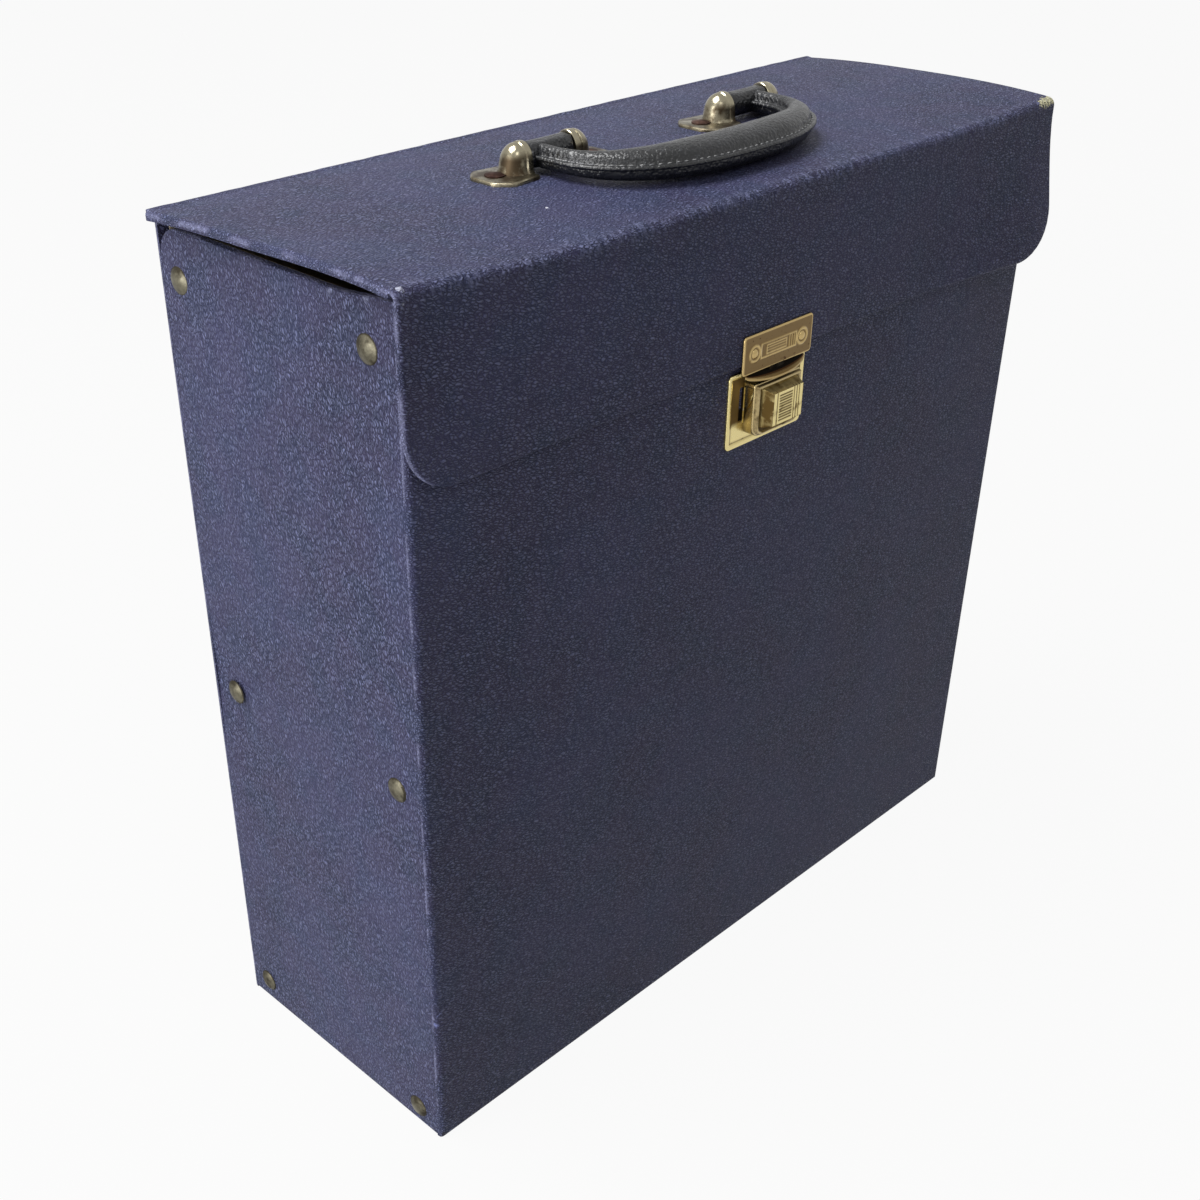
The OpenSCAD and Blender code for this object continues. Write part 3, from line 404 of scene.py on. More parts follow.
def make_world():
    """Even grey light from all round, which the camera and reflections see as white."""
    world = bpy.data.worlds.new("white_studio")
    bpy.context.scene.world = world
    tree = empty_tree(world)
    rays = add(tree, "LightPath").outputs
    seen = add(tree, "Math", (rays["Is Camera Ray"], rays["Is Transmission Ray"]), operation="MAXIMUM")
    mirrored = add(tree, "Math", (rays["Is Glossy Ray"], 0.8), operation="MULTIPLY")
    shown = add(tree, "Math", (seen, mirrored), operation="MAXIMUM")
    strength = add(tree, "MapRange", (shown, 0, 1, 0.10, 1.0))
    light = add(tree, "Background", {"Color": (1, 1, 1, 1), "Strength": strength})
    add(tree, "OutputWorld", {"Surface": light})


make_floor()
make_world()


# ---- Shaping ----

def smooth(value):
    """0 below 0, 1 above 1, and an S between."""
    t = max(0.0, min(1.0, value))
    return t * t * (3 - 2 * t)


def finish_piece(name, bm, body, slot_name, *materials, crease=38):
    """Makes a piece from its mesh, with its materials, and lets it ride on a body, unless it is blended."""
    bmesh.ops.remove_doubles(bm, verts=bm.verts[:], dist=0.004 * MM)
    bmesh.ops.recalc_face_normals(bm, faces=bm.faces[:])
    mesh = bpy.data.meshes.new(name)
    bm.to_mesh(mesh)
    bm.free()
    for material in materials:
        mesh.materials.append(material)
    for face in mesh.polygons:
        face.use_smooth = True
    mesh.set_sharp_from_angle(angle=math.radians(crease))
    piece = bpy.data.objects.new(name, mesh)
    bpy.context.scene.collection.objects.link(piece)
    if body:
        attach(piece, body)
    return piece


def drop(distance, radius):
    """How far a rounded edge of that radius falls away at a distance inside the outline."""
    if distance >= radius:
        return 0.0
    return radius - math.sqrt(max(0.0, radius ** 2 - (radius - max(0.0, distance)) ** 2))


def arc_steps(radius, count):
    """Distances from an edge at which a quarter round of that radius is cut into equal angles."""
    return [radius * (1 - math.cos(math.pi / 2 * i / count)) for i in range(count + 1)]


def stops(low, high, pitch, fine):
    """Places from low to high at about the pitch, with the fine ones among them."""
    kept = sorted({low, high, *[p for p in fine if low < p < high]})
    count = max(2, round((high - low) / pitch))
    for i in range(1, count):
        place = low + (high - low) * i / count
        if min(abs(place - p) for p in kept) > 0.4 * pitch:
            kept.append(place)
    return sorted(kept)


class Outline:
    """A rectangle from low to high with its own radius at each corner: lower left, lower right, upper right,
    upper left."""

    def __init__(self, low, high, radii):
        self.low, self.high, self.radii = low, high, radii
        (left, bottom), (right, top) = low, high
        ends = [(left, bottom, 1, 1), (right, bottom, -1, 1), (right, top, -1, -1), (left, top, 1, -1)]
        self.corners = [(*end, r) for end, r in zip(ends, radii) if r > 0]

    def limits(self, height):
        """The left and right edge at a height."""
        left, right = self.low[0], self.high[0]
        for _, z, inward, up, r in self.corners:
            t = (height - z) * up
            if 0 <= t < r:
                inset = r - math.sqrt(r * r - (r - t) ** 2)
                left, right = (left + inset, right) if inward > 0 else (left, right - inset)
        return left, right

    def inside(self, x, z):
        """How far inside the outline a point is: from its sides, and from its ends."""
        sides = min(x - self.low[0], self.high[0] - x)
        ends = min(z - self.low[1], self.high[1] - z)
        for cx, cz, inward, up, r in self.corners:
            a, b = (x - cx) * inward, (z - cz) * up
            if a < r and b < r:
                near = r - math.hypot(r - a, r - b)
                sides, ends = min(sides, near), min(ends, near)
        return sides, ends

    def rows(self, pitch, edge, fine):
        """Heights to cut the grid at: at about the pitch, and closer on the rounded edges and corners."""
        near = arc_steps(edge, 4)
        steps = [self.low[1] + s for s in near] + [self.high[1] - s for s in near] + list(fine)
        for _, z, _, up, r in self.corners:
            steps += [z + up * s for s in arc_steps(r, 9)]
        return stops(self.low[1], self.high[1], pitch, steps)

    def columns(self, pitch, edge, fine):
        """Places across to cut the grid at."""
        near = arc_steps(edge, 4)
        steps = [self.low[0] + s for s in near] + [self.high[0] - s for s in near] + list(fine)
        return stops(self.low[0], self.high[0], pitch, steps)


def covered_board(outline, place, thickness, edges, pitch, relief, fine=((), ()), *, worn, extra=None,
                  backing=None, inlay=None):
    """A closed slab inside an outline. edges are the radii of its rounded side and end edges, relief(x, z) is
    how far its face stands out, and place(x, z, n) puts a point n above the face in its place in the frame.
    The grid is cut at about the pitch and at the fine places across and along. The edges are worn over the
    width worn. extra names a second attribute and gives its value. backing(x, z) and inlay(x, z) are true
    where the back and the face take the second material."""
    across, along = outline.columns(pitch, edges[0], fine[0]), outline.rows(pitch, edges[1], fine[1])
    bm = bmesh.new()
    bmesh.ops.create_grid(bm, x_segments=len(across) - 1, y_segments=len(along) - 1, size=1)
    width = outline.high[0] - outline.low[0]
    for v in bm.verts:
        x = across[round((v.co.x + 1) / 2 * (len(across) - 1))]
        z = along[round((v.co.y + 1) / 2 * (len(along) - 1))]
        left, right = outline.limits(z)
        v.co = (left + (x - outline.low[0]) / width * (right - left), z, 0)
    wear_and_sheen = bm.verts.layers.float.new("wear_and_sheen")
    other = bm.verts.layers.float.new(extra[0]) if extra else None
    back = set(new_verts(bmesh.ops.extrude_face_region(bm, geom=bm.faces[:])["geom"]))
    for face in bm.faces:
        middle = face.calc_center_median()
        chosen = backing if all(v in back for v in face.verts) else inlay
        if chosen and chosen(middle.x, middle.y):
            face.material_index = 1
    for v in bm.verts:
        x, z = v.co.x, v.co.y
        sides, ends = outline.inside(x, z)
        if v in back:
            n = -(thickness(x, z) if callable(thickness) else thickness)
        else:
            n = -max(drop(sides, edges[0]), drop(ends, edges[1]))
            n += relief(x, z)
        v[wear_and_sheen] = 0.0 if v in back else max(0.0, 1 - min(sides, ends) / worn)
        if other:
            v[other] = extra[1](x, z)
        v.co = place(x, z, n)
    return bm


def new_verts(made):
    """The vertices among what an operator made."""
    return [v for v in made if isinstance(v, bmesh.types.BMVert)]


def round_off(bm, edges, radius, segments):
    """Rolls edges over to a radius."""
    bmesh.ops.bevel(bm, geom=edges, offset=radius, segments=segments, profile=0.5, affect="EDGES",
                    material=-1)


def rub(bm, share):
    """Rubs a small piece alike all over."""
    wear_and_sheen = bm.verts.layers.float.new("wear_and_sheen")
    for v in bm.verts:
        v[wear_and_sheen] = share


def lathe(bm, profile, matrix, steps=28):
    """Adds a body turned round the Z axis of matrix. The profile is a list of (radius, height)."""
    made = [bm.verts.new(matrix @ Vector((r, 0, h))) for r, h in profile]
    lines = [bm.edges.new(pair) for pair in zip(made, made[1:])]
    bmesh.ops.spin(bm, geom=made + lines, cent=matrix.translation, axis=matrix.to_3x3() @ Vector((0, 0, 1)),
                   angle=2 * math.pi, steps=steps, use_merge=True)


def dome(radius, height, count=7):
    """Profile of a low dome from its rim to its top."""
    sphere = (radius ** 2 + height ** 2) / (2 * height)
    reach = math.asin(min(1.0, radius / sphere))
    angles = [reach * (1 - i / count) for i in range(count + 1)]
    return [(sphere * math.sin(a), height - sphere + sphere * math.cos(a)) for a in angles]


def waves(x, z, size, depth, seed=0.0):
    """Gentle hills some size apart and up to depth high."""
    return depth * noise.noise(Vector((x / size, z / size, seed)))


# ---- Sizes taken from the frame ----

front_low, front_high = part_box("front_cover")
FRONT_Y, BACK_Y = front_low.y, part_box("back_cover")[1].y
HALF_W, WALL_TOP = front_high.x, front_high.z
END_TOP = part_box("left_end_cover")[1].z
# the whole wall from the cloth to the face of the lining, and without the paper
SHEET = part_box("front_lining")[1].y - FRONT_Y
COVERED = SHEET - 0.28 * MM
lid_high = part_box("lid_cover")[1]
LID_X, LID_TOP = lid_high.x, lid_high.z
flap_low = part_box("flap_cover")[0]
FLAP_Y, FLAP_Z = flap_low.y, flap_low.z


# ---- Body ----

# Height of the middle row of end rivets
MIDDLE_ROW_Z = 0.154


def wall(name, side_nodes, low, high, place, edges, corners=(0,) * 4, material=CLOTH, dent=None, seed=0.0):
    """One covered wall of the case, a little wavy, with a dent where one is given."""
    outline = Outline(low, high, corners)

    def relief(x, z):
        sides, ends = outline.inside(x, z)
        calm = smooth(min(sides, ends) / (12 * MM))
        return calm * waves(x, z, 70 * MM, 0.35 * MM, seed) + (dent(x, z) if dent else 0)

    bm = covered_board(outline, place, COVERED, edges, 5 * MM, relief, worn=0.3 * MM)
    piece = finish_piece(name, bm, "case", "leathercloth", material)
    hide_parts(*side_nodes)
    return piece


def rivet_dent(y, z):
    """The dent and the short crease at the middle rear rivet of the left end."""
    rivet_y, crease_y, crease_z = 46.5 * MM, 40 * MM, MIDDLE_ROW_Z - 6 * MM
    away = math.hypot((y - rivet_y) / (13 * MM), (z - MIDDLE_ROW_Z) / (17 * MM))
    crease = math.exp(-((y - crease_y) / (1.5 * MM)) ** 2 - ((z - crease_z) / (11 * MM)) ** 2)
    return -0.9 * MM * math.exp(-away * away) - 0.35 * MM * crease


def risen(y, z):
    """Height of a point of the left end, whose top edge stands up towards the front."""
    return z + 2.2 * MM * smooth((-y - 30 * MM) / (27 * MM)) * smooth((z - 255 * MM) / (65 * MM))


def make_body():
    """The four walls and the base, each with its rounded edges tucked in beside its neighbours'."""
    top = WALL_TOP + 0.33 * MM
    edges = (2.0 * MM, 1.2 * MM)
    wall("front_wall", ["front_cover", "front_board"], (-HALF_W, 0), (HALF_W, top),
         lambda x, z, n: (x, FRONT_Y - n, z), edges, seed=1.5)
    wall("back_wall", ["back_cover", "back_board"], (-HALF_W, 0), (HALF_W, top),
         lambda x, z, n: (x, BACK_Y + n, z), edges, seed=4.5)
    end_y = BACK_Y - 2.2 * MM
    low, high = (-end_y, 0.2 * MM), (end_y, END_TOP + 0.1 * MM)
    edges = (0.7 * MM, 0.7 * MM)
    corners = (0, 0, 10 * MM, 0)
    wall("left_end_wall", ["left_end_cover", "left_end_board"], low, high,
         lambda y, z, n: (-HALF_W - n, y, risen(y, z)), edges, corners, END_CLOTH, rivet_dent, 7.5)
    wall("right_end_wall", ["right_end_cover", "right_end_board"], low, high,
         lambda y, z, n: (HALF_W + n, y, z), edges, corners, END_CLOTH, None, 9.5)
    half_x, half_y = HALF_W - 2.0 * MM, BACK_Y - 1.5 * MM
    wall("base_wall", ["base_cover", "base_board"], (-half_x, -half_y), (half_x, half_y),
         lambda x, y, n: (x, y, -n), (0.6 * MM, 0.6 * MM), seed=12.5)


# ---- Lid and flap, one cloth over two boards ----

# The lid is bowed, as part of a wide circle round a line far below it. The flap hangs from a small fold.
FOLD_R = 3.0 * MM
LID_MID_Y = (FLAP_Y + BACK_Y) / 2
LID_HALF = (BACK_Y - FLAP_Y) / 2
LID_EDGE_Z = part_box("flap_fold_cloth")[1].z
CROWN_R = (LID_HALF ** 2 + (LID_TOP - LID_EDGE_Z) ** 2) / (2 * (LID_TOP - LID_EDGE_Z))
CROWN_Z = LID_TOP - CROWN_R
FOLD_Y = FLAP_Y + FOLD_R
FOLD_Z = CROWN_Z + math.sqrt((CROWN_R - FOLD_R) ** 2 - (FOLD_Y - LID_MID_Y) ** 2)
REAR_TILT = math.asin((BACK_Y - LID_MID_Y) / CROWN_R)
FRONT_TILT = math.asin((FOLD_Y - LID_MID_Y) / (CROWN_R - FOLD_R))
LID_LENGTH = CROWN_R * (REAR_TILT - FRONT_TILT)
FOLD_LENGTH = FOLD_R * (math.pi / 2 + FRONT_TILT)
FLAP_START = LID_LENGTH + FOLD_LENGTH
CLOTH_LENGTH = FLAP_START + FOLD_Z - FLAP_Z
LID_THICK = SHEET + 0.02 * MM
FOLD_THICK = 1.2 * MM
FLAP_CORNER_R = 20 * MM


def on_cloth(s):
    """(y, z, tilt) of the cloth's outer face at a length s from the lid's rear edge, over the fold and down
    the flap. The tilt is how far its normal leans to the rear."""
    if s < LID_LENGTH:
        tilt = REAR_TILT - s / CROWN_R
        return LID_MID_Y + CROWN_R * math.sin(tilt), CROWN_Z + CROWN_R * math.cos(tilt), tilt
    if s < FLAP_START:
        tilt = FRONT_TILT - (s - LID_LENGTH) / FOLD_R
        return FOLD_Y + FOLD_R * math.sin(tilt), FOLD_Z + FOLD_R * math.cos(tilt), tilt
    return FLAP_Y, FOLD_Z - (s - FLAP_START), -math.pi / 2


def flap_bow(x, z):
    """How far the flap's lower right corner stands out, and its left one a little."""
    down = smooth((FOLD_Z - z) / (FOLD_Z - FLAP_Z))
    right_from, left_from = 70 * MM, 100 * MM
    right = 7.0 * MM * smooth((x - right_from) / (LID_X - right_from)) ** 1.5
    left = 0.8 * MM * smooth((-x - left_from) / (LID_X - left_from))
    return down * (right + left)


def lid_lift(x, y, z):
    """How far the lid's ends have warped up in front of the hinge, the left one more than the right."""
    left = 2.8 * MM * smooth((-x - 105 * MM) / (63 * MM))
    right = 1.3 * MM * smooth((x - 120 * MM) / (48 * MM))
    return (left + right) * smooth((12 * MM - y) / (70 * MM)) * smooth((z - 285 * MM) / (35 * MM))


def place_cloth(x, s, n):
    """The place of a point n above the cloth, with the lid's warp and the flap's bow."""
    y, z, tilt = on_cloth(s)
    return x, y + n * math.sin(tilt) - flap_bow(x, z), z + n * math.cos(tilt) + lid_lift(x, y, z)


def fold_share(_, s):
    """1 on the fold, falling to 0 some 7 mm to each side."""
    return math.exp(-((s - LID_LENGTH - 0.4 * FOLD_LENGTH) / (4.5 * MM)) ** 2)


def cloth_relief(x, s):
    """Crumples on the fold, finer along it than across, and slow waves away from the edges."""
    crumple = noise.noise(Vector((x / (2.6 * MM), s / (9 * MM), 3.3)))
    crumple += 0.6 * noise.noise(Vector((x / (7 * MM), s / (14 * MM), 8.1)))
    inside = smooth(min(LID_X - abs(x), s) / (12 * MM))
    return 0.26 * MM * fold_share(x, s) * crumple + waves(x, s, 80 * MM, 0.3 * MM, 2.5) * inside


def make_lid():
    """The lid and the flap: two boards in one cloth, thin on the fold between them, with paper inside."""
    outline = Outline((-LID_X, 0), (LID_X, CLOTH_LENGTH), (2 * MM, 2 * MM, FLAP_CORNER_R, FLAP_CORNER_R))
    margin = 1.0 * MM
    turned_in = 2.5 * MM

    def thickness(x, s):
        """Thin on the fold, and skived towards the flap's rim."""
        past_lid, before_flap = s - LID_LENGTH + margin, FLAP_START + margin - s
        off_boards = min(smooth(past_lid / margin), smooth(before_flap / margin))
        rim = 1 - smooth(min(outline.inside(x, s)) / turned_in)
        skived = 1.4 * MM * rim * smooth((s - FLAP_START) / (4 * MM))
        return LID_THICK + (FOLD_THICK - LID_THICK) * off_boards - skived

    def backing(x, s):
        """Where the paper is: inside the turned-in cloth, and not on the fold."""
        on_fold = LID_LENGTH - 3 * MM < s < FLAP_START + 3 * MM
        return min(outline.inside(x, s)) > turned_in and not on_fold

    crumple_pitch = 1.15 * MM
    fine_x = [-LID_X + crumple_pitch * i for i in range(1, int(2 * LID_X / crumple_pitch))]
    fine_s = [LID_LENGTH - margin, LID_LENGTH, FLAP_START, FLAP_START + margin]
    fine_s += [LID_LENGTH + FOLD_LENGTH * i / 7 for i in range(1, 7)]
    for i in range(1, 6):
        fine_s += [LID_LENGTH - i * 1.6 * MM, FLAP_START + i * 1.6 * MM]
    bm = covered_board(outline, place_cloth, thickness, (1.4 * MM, 1.4 * MM), 3.6 * MM, cloth_relief,
                       (fine_x, fine_s), worn=1.0 * MM, extra=("fold", fold_share), backing=backing)
    piece = finish_piece("lid_and_flap", bm, None, "leathercloth", CLOTH, PAPER)
    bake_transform(piece)
    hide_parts("lid_cover", "lid_board", "lid_lining", "flap_fold_cloth", "flap_cover", "flap_board",
                "flap_lining")


def make_hinge():
    """The cloth strip that the lid turns on: over the lid's rear edge and down the back."""
    thick, proud, turn_r = 0.5 * MM, 0.10 * MM, 1.9 * MM
    top_run, back_run = 4 * MM, 17 * MM
    arc = turn_r * math.pi / 2
    length = top_run + arc + back_run
    half = LID_X - 0.6 * MM
    turn_y, turn_z = BACK_Y + proud - turn_r, LID_EDGE_Z + proud - turn_r
    rise = math.tan(REAR_TILT)

    def place(x, s, n):
        """As wide as the lid on top, drawn in to the back's width, and sunk into the lid in front."""
        x *= 1 - (1 - (HALF_W - 1.2 * MM) / LID_X) * smooth((s - top_run) / (7 * MM))
        if s < top_run:
            forward = top_run - s
            sunk = 0.8 * MM * smooth(forward / top_run)
            return x, turn_y - forward, turn_z + turn_r + n + rise * forward - sunk
        if s < top_run + arc:
            angle = (s - top_run) / turn_r
            return x, turn_y + (turn_r + n) * math.sin(angle), turn_z + (turn_r + n) * math.cos(angle)
        return x, turn_y + turn_r + n, turn_z - (s - top_run - arc)

    def creased(_, s):
        return 0.6 * math.exp(-((s - top_run - arc / 2) / (3 * MM)) ** 2)

    outline = Outline((-half, 0), (half, length), (1 * MM,) * 4)
    fine = [top_run + arc * i / 6 for i in range(7)]
    bm = covered_board(outline, place, thick, (0.3 * MM, 0.3 * MM), 3 * MM,
                       lambda x, s: thick + waves(x, s, 6 * MM, 0.12 * MM, 5.5), ((), fine), worn=2 * MM,
                       extra=("fold", creased))
    piece = finish_piece("rear_hinge_cloth", bm, None, "leathercloth", CLOTH)
    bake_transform(piece)


# ---- Rivets ----

# How far each end rivet was set off its mark in Y and Z, in mm: front and rear, from the lowest row up
RIVETS_ASTRAY = [[(0.0, -0.8), (1.4, 1.0)], [(0.5, 1.5), (-1.5, -1.5)], [(1.5, 0.9), (1.5, -1.3)]]


def shank(shank_r, tail_r, tail_h, reach, top):
    """Profile of a rivet's clenched end and shank, up to the height top under its head."""
    return [(0, -reach), (tail_r * 0.8, -reach), (tail_r, tail_h / 2 - reach), (tail_r, tail_h - reach),
            (shank_r, tail_h - reach), (shank_r, top)]


def make_end_rivets(side):
    """Six domed rivets of one end, with their shanks and clenched inner ends."""
    name = "left" if side < 0 else "right"
    low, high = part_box(f"{name}_end_rivets")
    head_r, head_h, shank_r, tail_r, tail_h = 4.6 * MM, 1.8 * MM, 1.8 * MM, 2.7 * MM, 0.8 * MM
    rows_y = (low.y + head_r, high.y - head_r)
    rows_z = (low.z + head_r, MIDDLE_ROW_Z, high.z - head_r)
    bm = bmesh.new()
    profile = shank(shank_r, tail_r, tail_h, high.x - low.x - head_h, 0) + [(head_r * 0.97, 0)]
    profile += dome(head_r, head_h * 0.86, 8)
    sideways = Matrix.Rotation(side * math.pi / 2, 4, "Y")
    for z, row in zip(rows_z, RIVETS_ASTRAY):
        for y, (astray_y, astray_z) in zip(rows_y, row):
            # each leans its own way, by up to 2.5 degrees
            lean = Matrix.Rotation(math.radians(2.5) * math.sin(900 * y + 77 * z), 4, "Z")
            place = (side * (HALF_W + 0.02 * MM), y + astray_y * MM, z + astray_z * MM)
            lathe(bm, profile, Matrix.Translation(place) @ lean @ sideways, 36)
    # the heads are darker where they meet the cloth, and so are the shanks
    hollow_and_shade = bm.verts.layers.float.new("hollow_and_shade")
    for v in bm.verts:
        v[hollow_and_shade] = 0.8 if abs(v.co.x) < HALF_W + 0.25 * MM else 0.0
    piece = finish_piece(f"{name}_end_rivet_heads", bm, "case", "rivet_bronze", BRONZE)
    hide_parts(f"{name}_end_rivets")


# ---- Handle brackets ----

pin_low, pin_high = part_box("left_handle_pin")
PAIR_X = -(pin_low.x + pin_high.x) / 2
PIN_Z = (pin_low.z + pin_high.z) / 2
RIM_R = 5.2 * MM
RIM_T = 2.8 * MM
PLATE_T = 1.2 * MM
PLATE_TOP = LID_TOP + PLATE_T
BRACKET_RIVET_R = 3.5 * MM
BRACKET_RIVET_Y = 1 * MM


def make_bracket(name):
    """A hooded bracket pressed from one piece: a hexagonal base, a rolled rim and a half dome behind it."""
    low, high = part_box(f"{name}_bracket")
    pair = math.copysign(PAIR_X, low.x)
    way = 1 if (low.x + high.x) / 2 > pair else -1
    near = low.x if way > 0 else high.x
    length = high.x - low.x
    bm = bmesh.new()

    # base plate: its outline, raised from a little inside the lid, with its upper edge rolled over
    near_y, far_y, cut, sunk = 9 * MM, high.y, 5 * MM, 0.4 * MM
    corners = [(0, -near_y), (length - cut, -far_y), (length, -far_y + cut), (length, far_y - cut),
               (length - cut, far_y), (0, near_y)]
    base = bm.faces.new([bm.verts.new((near + way * x, y, LID_TOP - sunk)) for x, y in corners])
    top = bmesh.ops.extrude_face_region(bm, geom=[base])["geom"]
    bmesh.ops.translate(bm, vec=(0, 0, PLATE_T + sunk), verts=new_verts(top))
    upright = [e for e in bm.edges if abs(e.verts[0].co.z - e.verts[1].co.z) > PLATE_T / 2]
    round_off(bm, upright, 1.6 * MM, 4)
    level = PLATE_TOP - 0.01 * MM
    upper = [e for e in bm.edges if all(v.co.z > level for v in e.verts)]
    round_off(bm, upper, 0.7 * MM, 3)

    # hood: the profile swept half round over the pin, then drawn down to the plate
    rim = [(0, RIM_R - 1.0 * MM), (0, RIM_R - 0.25 * MM), (0.25 * MM, RIM_R),
           (1.2 * MM, RIM_R + 0.12 * MM), (RIM_T - 0.5 * MM, RIM_R),
           (RIM_T - 0.1 * MM, RIM_R - 0.45 * MM), (RIM_T + 0.3 * MM, RIM_R - 0.5 * MM)]
    depth, shell_x, shell_r = 5.2 * MM, RIM_T + 0.6 * MM, RIM_R - 0.12 * MM
    shell = [(shell_x + depth * math.sin(a), shell_r * math.cos(a) ** 0.85)
             for a in [math.pi / 2 * i / 9 for i in range(9)]] + [(shell_x + depth, 0)]
    chain = [bm.verts.new((near + way * x, -r, PIN_Z)) for x, r in rim + shell]
    lines = [bm.edges.new(pair_of) for pair_of in zip(chain, chain[1:])]
    swept = bmesh.ops.spin(bm, geom=chain + lines, cent=(0, 0, PIN_Z), axis=(1, 0, 0), angle=-math.pi,
                           steps=20)
    last = [g for g in swept["geom_last"] if isinstance(g, bmesh.types.BMEdge)]
    drawn = PIN_Z - PLATE_TOP
    for current in (lines, last):
        for share, flare in ((0.72, 0), (0.2, 0.3 * MM), (0.14, 0.75 * MM)):
            down = bmesh.ops.extrude_edge_only(bm, edges=current)["geom"]
            moved = new_verts(down)
            bmesh.ops.translate(bm, vec=(0, 0, -share * drawn), verts=moved)
            for v in moved:
                out = Vector((max(0.0, (v.co.x - near) * way - RIM_T) * way, v.co.y, 0))
                if out.length > 1e-6:
                    v.co += out.normalized() * flare
            current = [e for e in down if isinstance(e, bmesh.types.BMEdge) and e.is_boundary
                       and all(v in moved for v in e.verts)]
    bmesh.ops.remove_doubles(bm, verts=bm.verts[:], dist=0.01 * MM)
    bmesh.ops.holes_fill(bm, edges=[e for e in bm.edges if e.is_boundary], sides=0)
    # the hood leans back a little and narrows towards its top
    for v in bm.verts:
        share = (v.co.z - PLATE_TOP) / (PIN_Z + RIM_R - PLATE_TOP)
        if share > 0:
            behind = max(0.0, (v.co.x - near) * way - RIM_T)
            v.co.x += way * behind * (0.12 - 0.38 * share)
            v.co.y *= 1.05 - 0.16 * share

    # dirt gathers round the rivet beside the hood, and the hood's top is rubbed
    rivet_x = near + way * (RIM_T + 5.3 * MM + BRACKET_RIVET_R)
    hollow_and_shade = bm.verts.layers.float.new("hollow_and_shade")
    wear_and_sheen = bm.verts.layers.float.new("wear_and_sheen")
    for v in bm.verts:
        from_rivet = math.hypot(v.co.x - rivet_x, v.co.y - BRACKET_RIVET_Y)
        on_plate = smooth(1 - (v.co.z - PLATE_TOP) / (1.5 * MM)) if v.co.z > PLATE_TOP - 0.1 * MM else 0
        v[hollow_and_shade] = 0.35 * on_plate * smooth(1 - from_rivet / (9 * MM))
        v[wear_and_sheen] = smooth((v.co.z - PIN_Z) / RIM_R)
    piece = finish_piece(f"{name}_hood", bm, "lid", "bracket_brass", HOOD, crease=32)
    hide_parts(f"{name}_bracket")


def make_bracket_rivets():
    """Four browned rivets with flat domed heads, each with its shank and clenched end under the lid."""
    low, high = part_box("bracket_rivets")
    head_r, head_h, shank_r, tail_r, tail_h = BRACKET_RIVET_R, 1.0 * MM, 1.5 * MM, 2.7 * MM, 0.8 * MM
    rim_h, sunk = 0.35 * MM, 0.2 * MM
    profile = shank(shank_r, tail_r, tail_h, PLATE_TOP - low.z, -sunk) + [(head_r, -sunk), (head_r, rim_h)]
    profile += [(r * 0.9, rim_h + h) for r, h in dome(head_r, head_h - rim_h)]
    outer = high.x - head_r
    bm = bmesh.new()
    for x in (-outer, outer - 2 * PAIR_X, 2 * PAIR_X - outer, outer):
        lathe(bm, profile, Matrix.Translation((x, BRACKET_RIVET_Y, PLATE_TOP)), 30)
    piece = finish_piece("bracket_rivet_heads", bm, "lid", "browned_rivet", BROWNED)
    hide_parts("bracket_rivets")


# ---- Handle ----

LEG_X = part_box("handle_core")[1].x - 3.5 * MM
# The grip runs straight forward from the pins to GRIP_BEND, then in a squarish bow out to GRIP_REACH
GRIP_REACH = 39 * MM
GRIP_BEND = 8 * MM
GRIP_START = 1.5 * MM
GRIP_POWER = 2.6
GRIP_ROWS = 120
LEG_HALF_W, LEG_HALF_T = 4.3 * MM, 3.8 * MM
GRIP_HALF_W, GRIP_TOP, GRIP_BELOW = 9.4 * MM, 5.6 * MM, 6.0 * MM
SEAM_T, SEAM_W = 0.8 * MM, 1.7 * MM


def bow(u):
    """The grip's middle line seen from above, from the left barrel (0) to the right one (1)."""
    a = math.pi * (1 + u)
    c, s = math.cos(a), -math.sin(a)
    return Vector((math.copysign(LEG_X * abs(c) ** (2 / GRIP_POWER), c),
                   -GRIP_BEND - (GRIP_REACH - GRIP_BEND) * abs(s) ** (2 / GRIP_POWER), PIN_Z))


def grip_line():
    """Points along the grip at equal steps, with the straight ends that come out of the barrels."""
    fine = [Vector((-LEG_X, -GRIP_START, PIN_Z))] + [bow(i / 800) for i in range(801)]
    fine.append(Vector((LEG_X, -GRIP_START, PIN_Z)))
    lengths = [0.0]
    for a, b in zip(fine, fine[1:]):
        lengths.append(lengths[-1] + (b - a).length)
    line, k = [], 0
    for i in range(GRIP_ROWS + 1):
        want = lengths[-1] * i / GRIP_ROWS
        while k < len(fine) - 2 and lengths[k + 1] < want:
            k += 1
        share = (want - lengths[k]) / max(1e-9, lengths[k + 1] - lengths[k])
        line.append(fine[k].lerp(fine[k + 1], share))
    return line, lengths[-1]


GRIP_LINE, GRIP_LENGTH = grip_line()


def grip_frame(i):
    """(place, heading, outward) of the grip's middle line at a row."""
    ahead = GRIP_LINE[min(i + 2, GRIP_ROWS)] - GRIP_LINE[max(i - 2, 0)]
    ahead.normalize()
    return GRIP_LINE[i], ahead, Vector((ahead.y, -ahead.x, 0))


def grip_size(i):
    """Half width, height above and depth below the pins at a row: full in the bow, slim at the barrels."""
    place = GRIP_LINE[i]
    away = (place - Vector((math.copysign(LEG_X, place.x), 0, PIN_Z))).length
    full = smooth((away - 10 * MM) / (46 * MM))
    return (LEG_HALF_W + (GRIP_HALF_W - LEG_HALF_W) * full, LEG_HALF_T + (GRIP_TOP - LEG_HALF_T) * full,
            LEG_HALF_T + (GRIP_BELOW - LEG_HALF_T) * full)


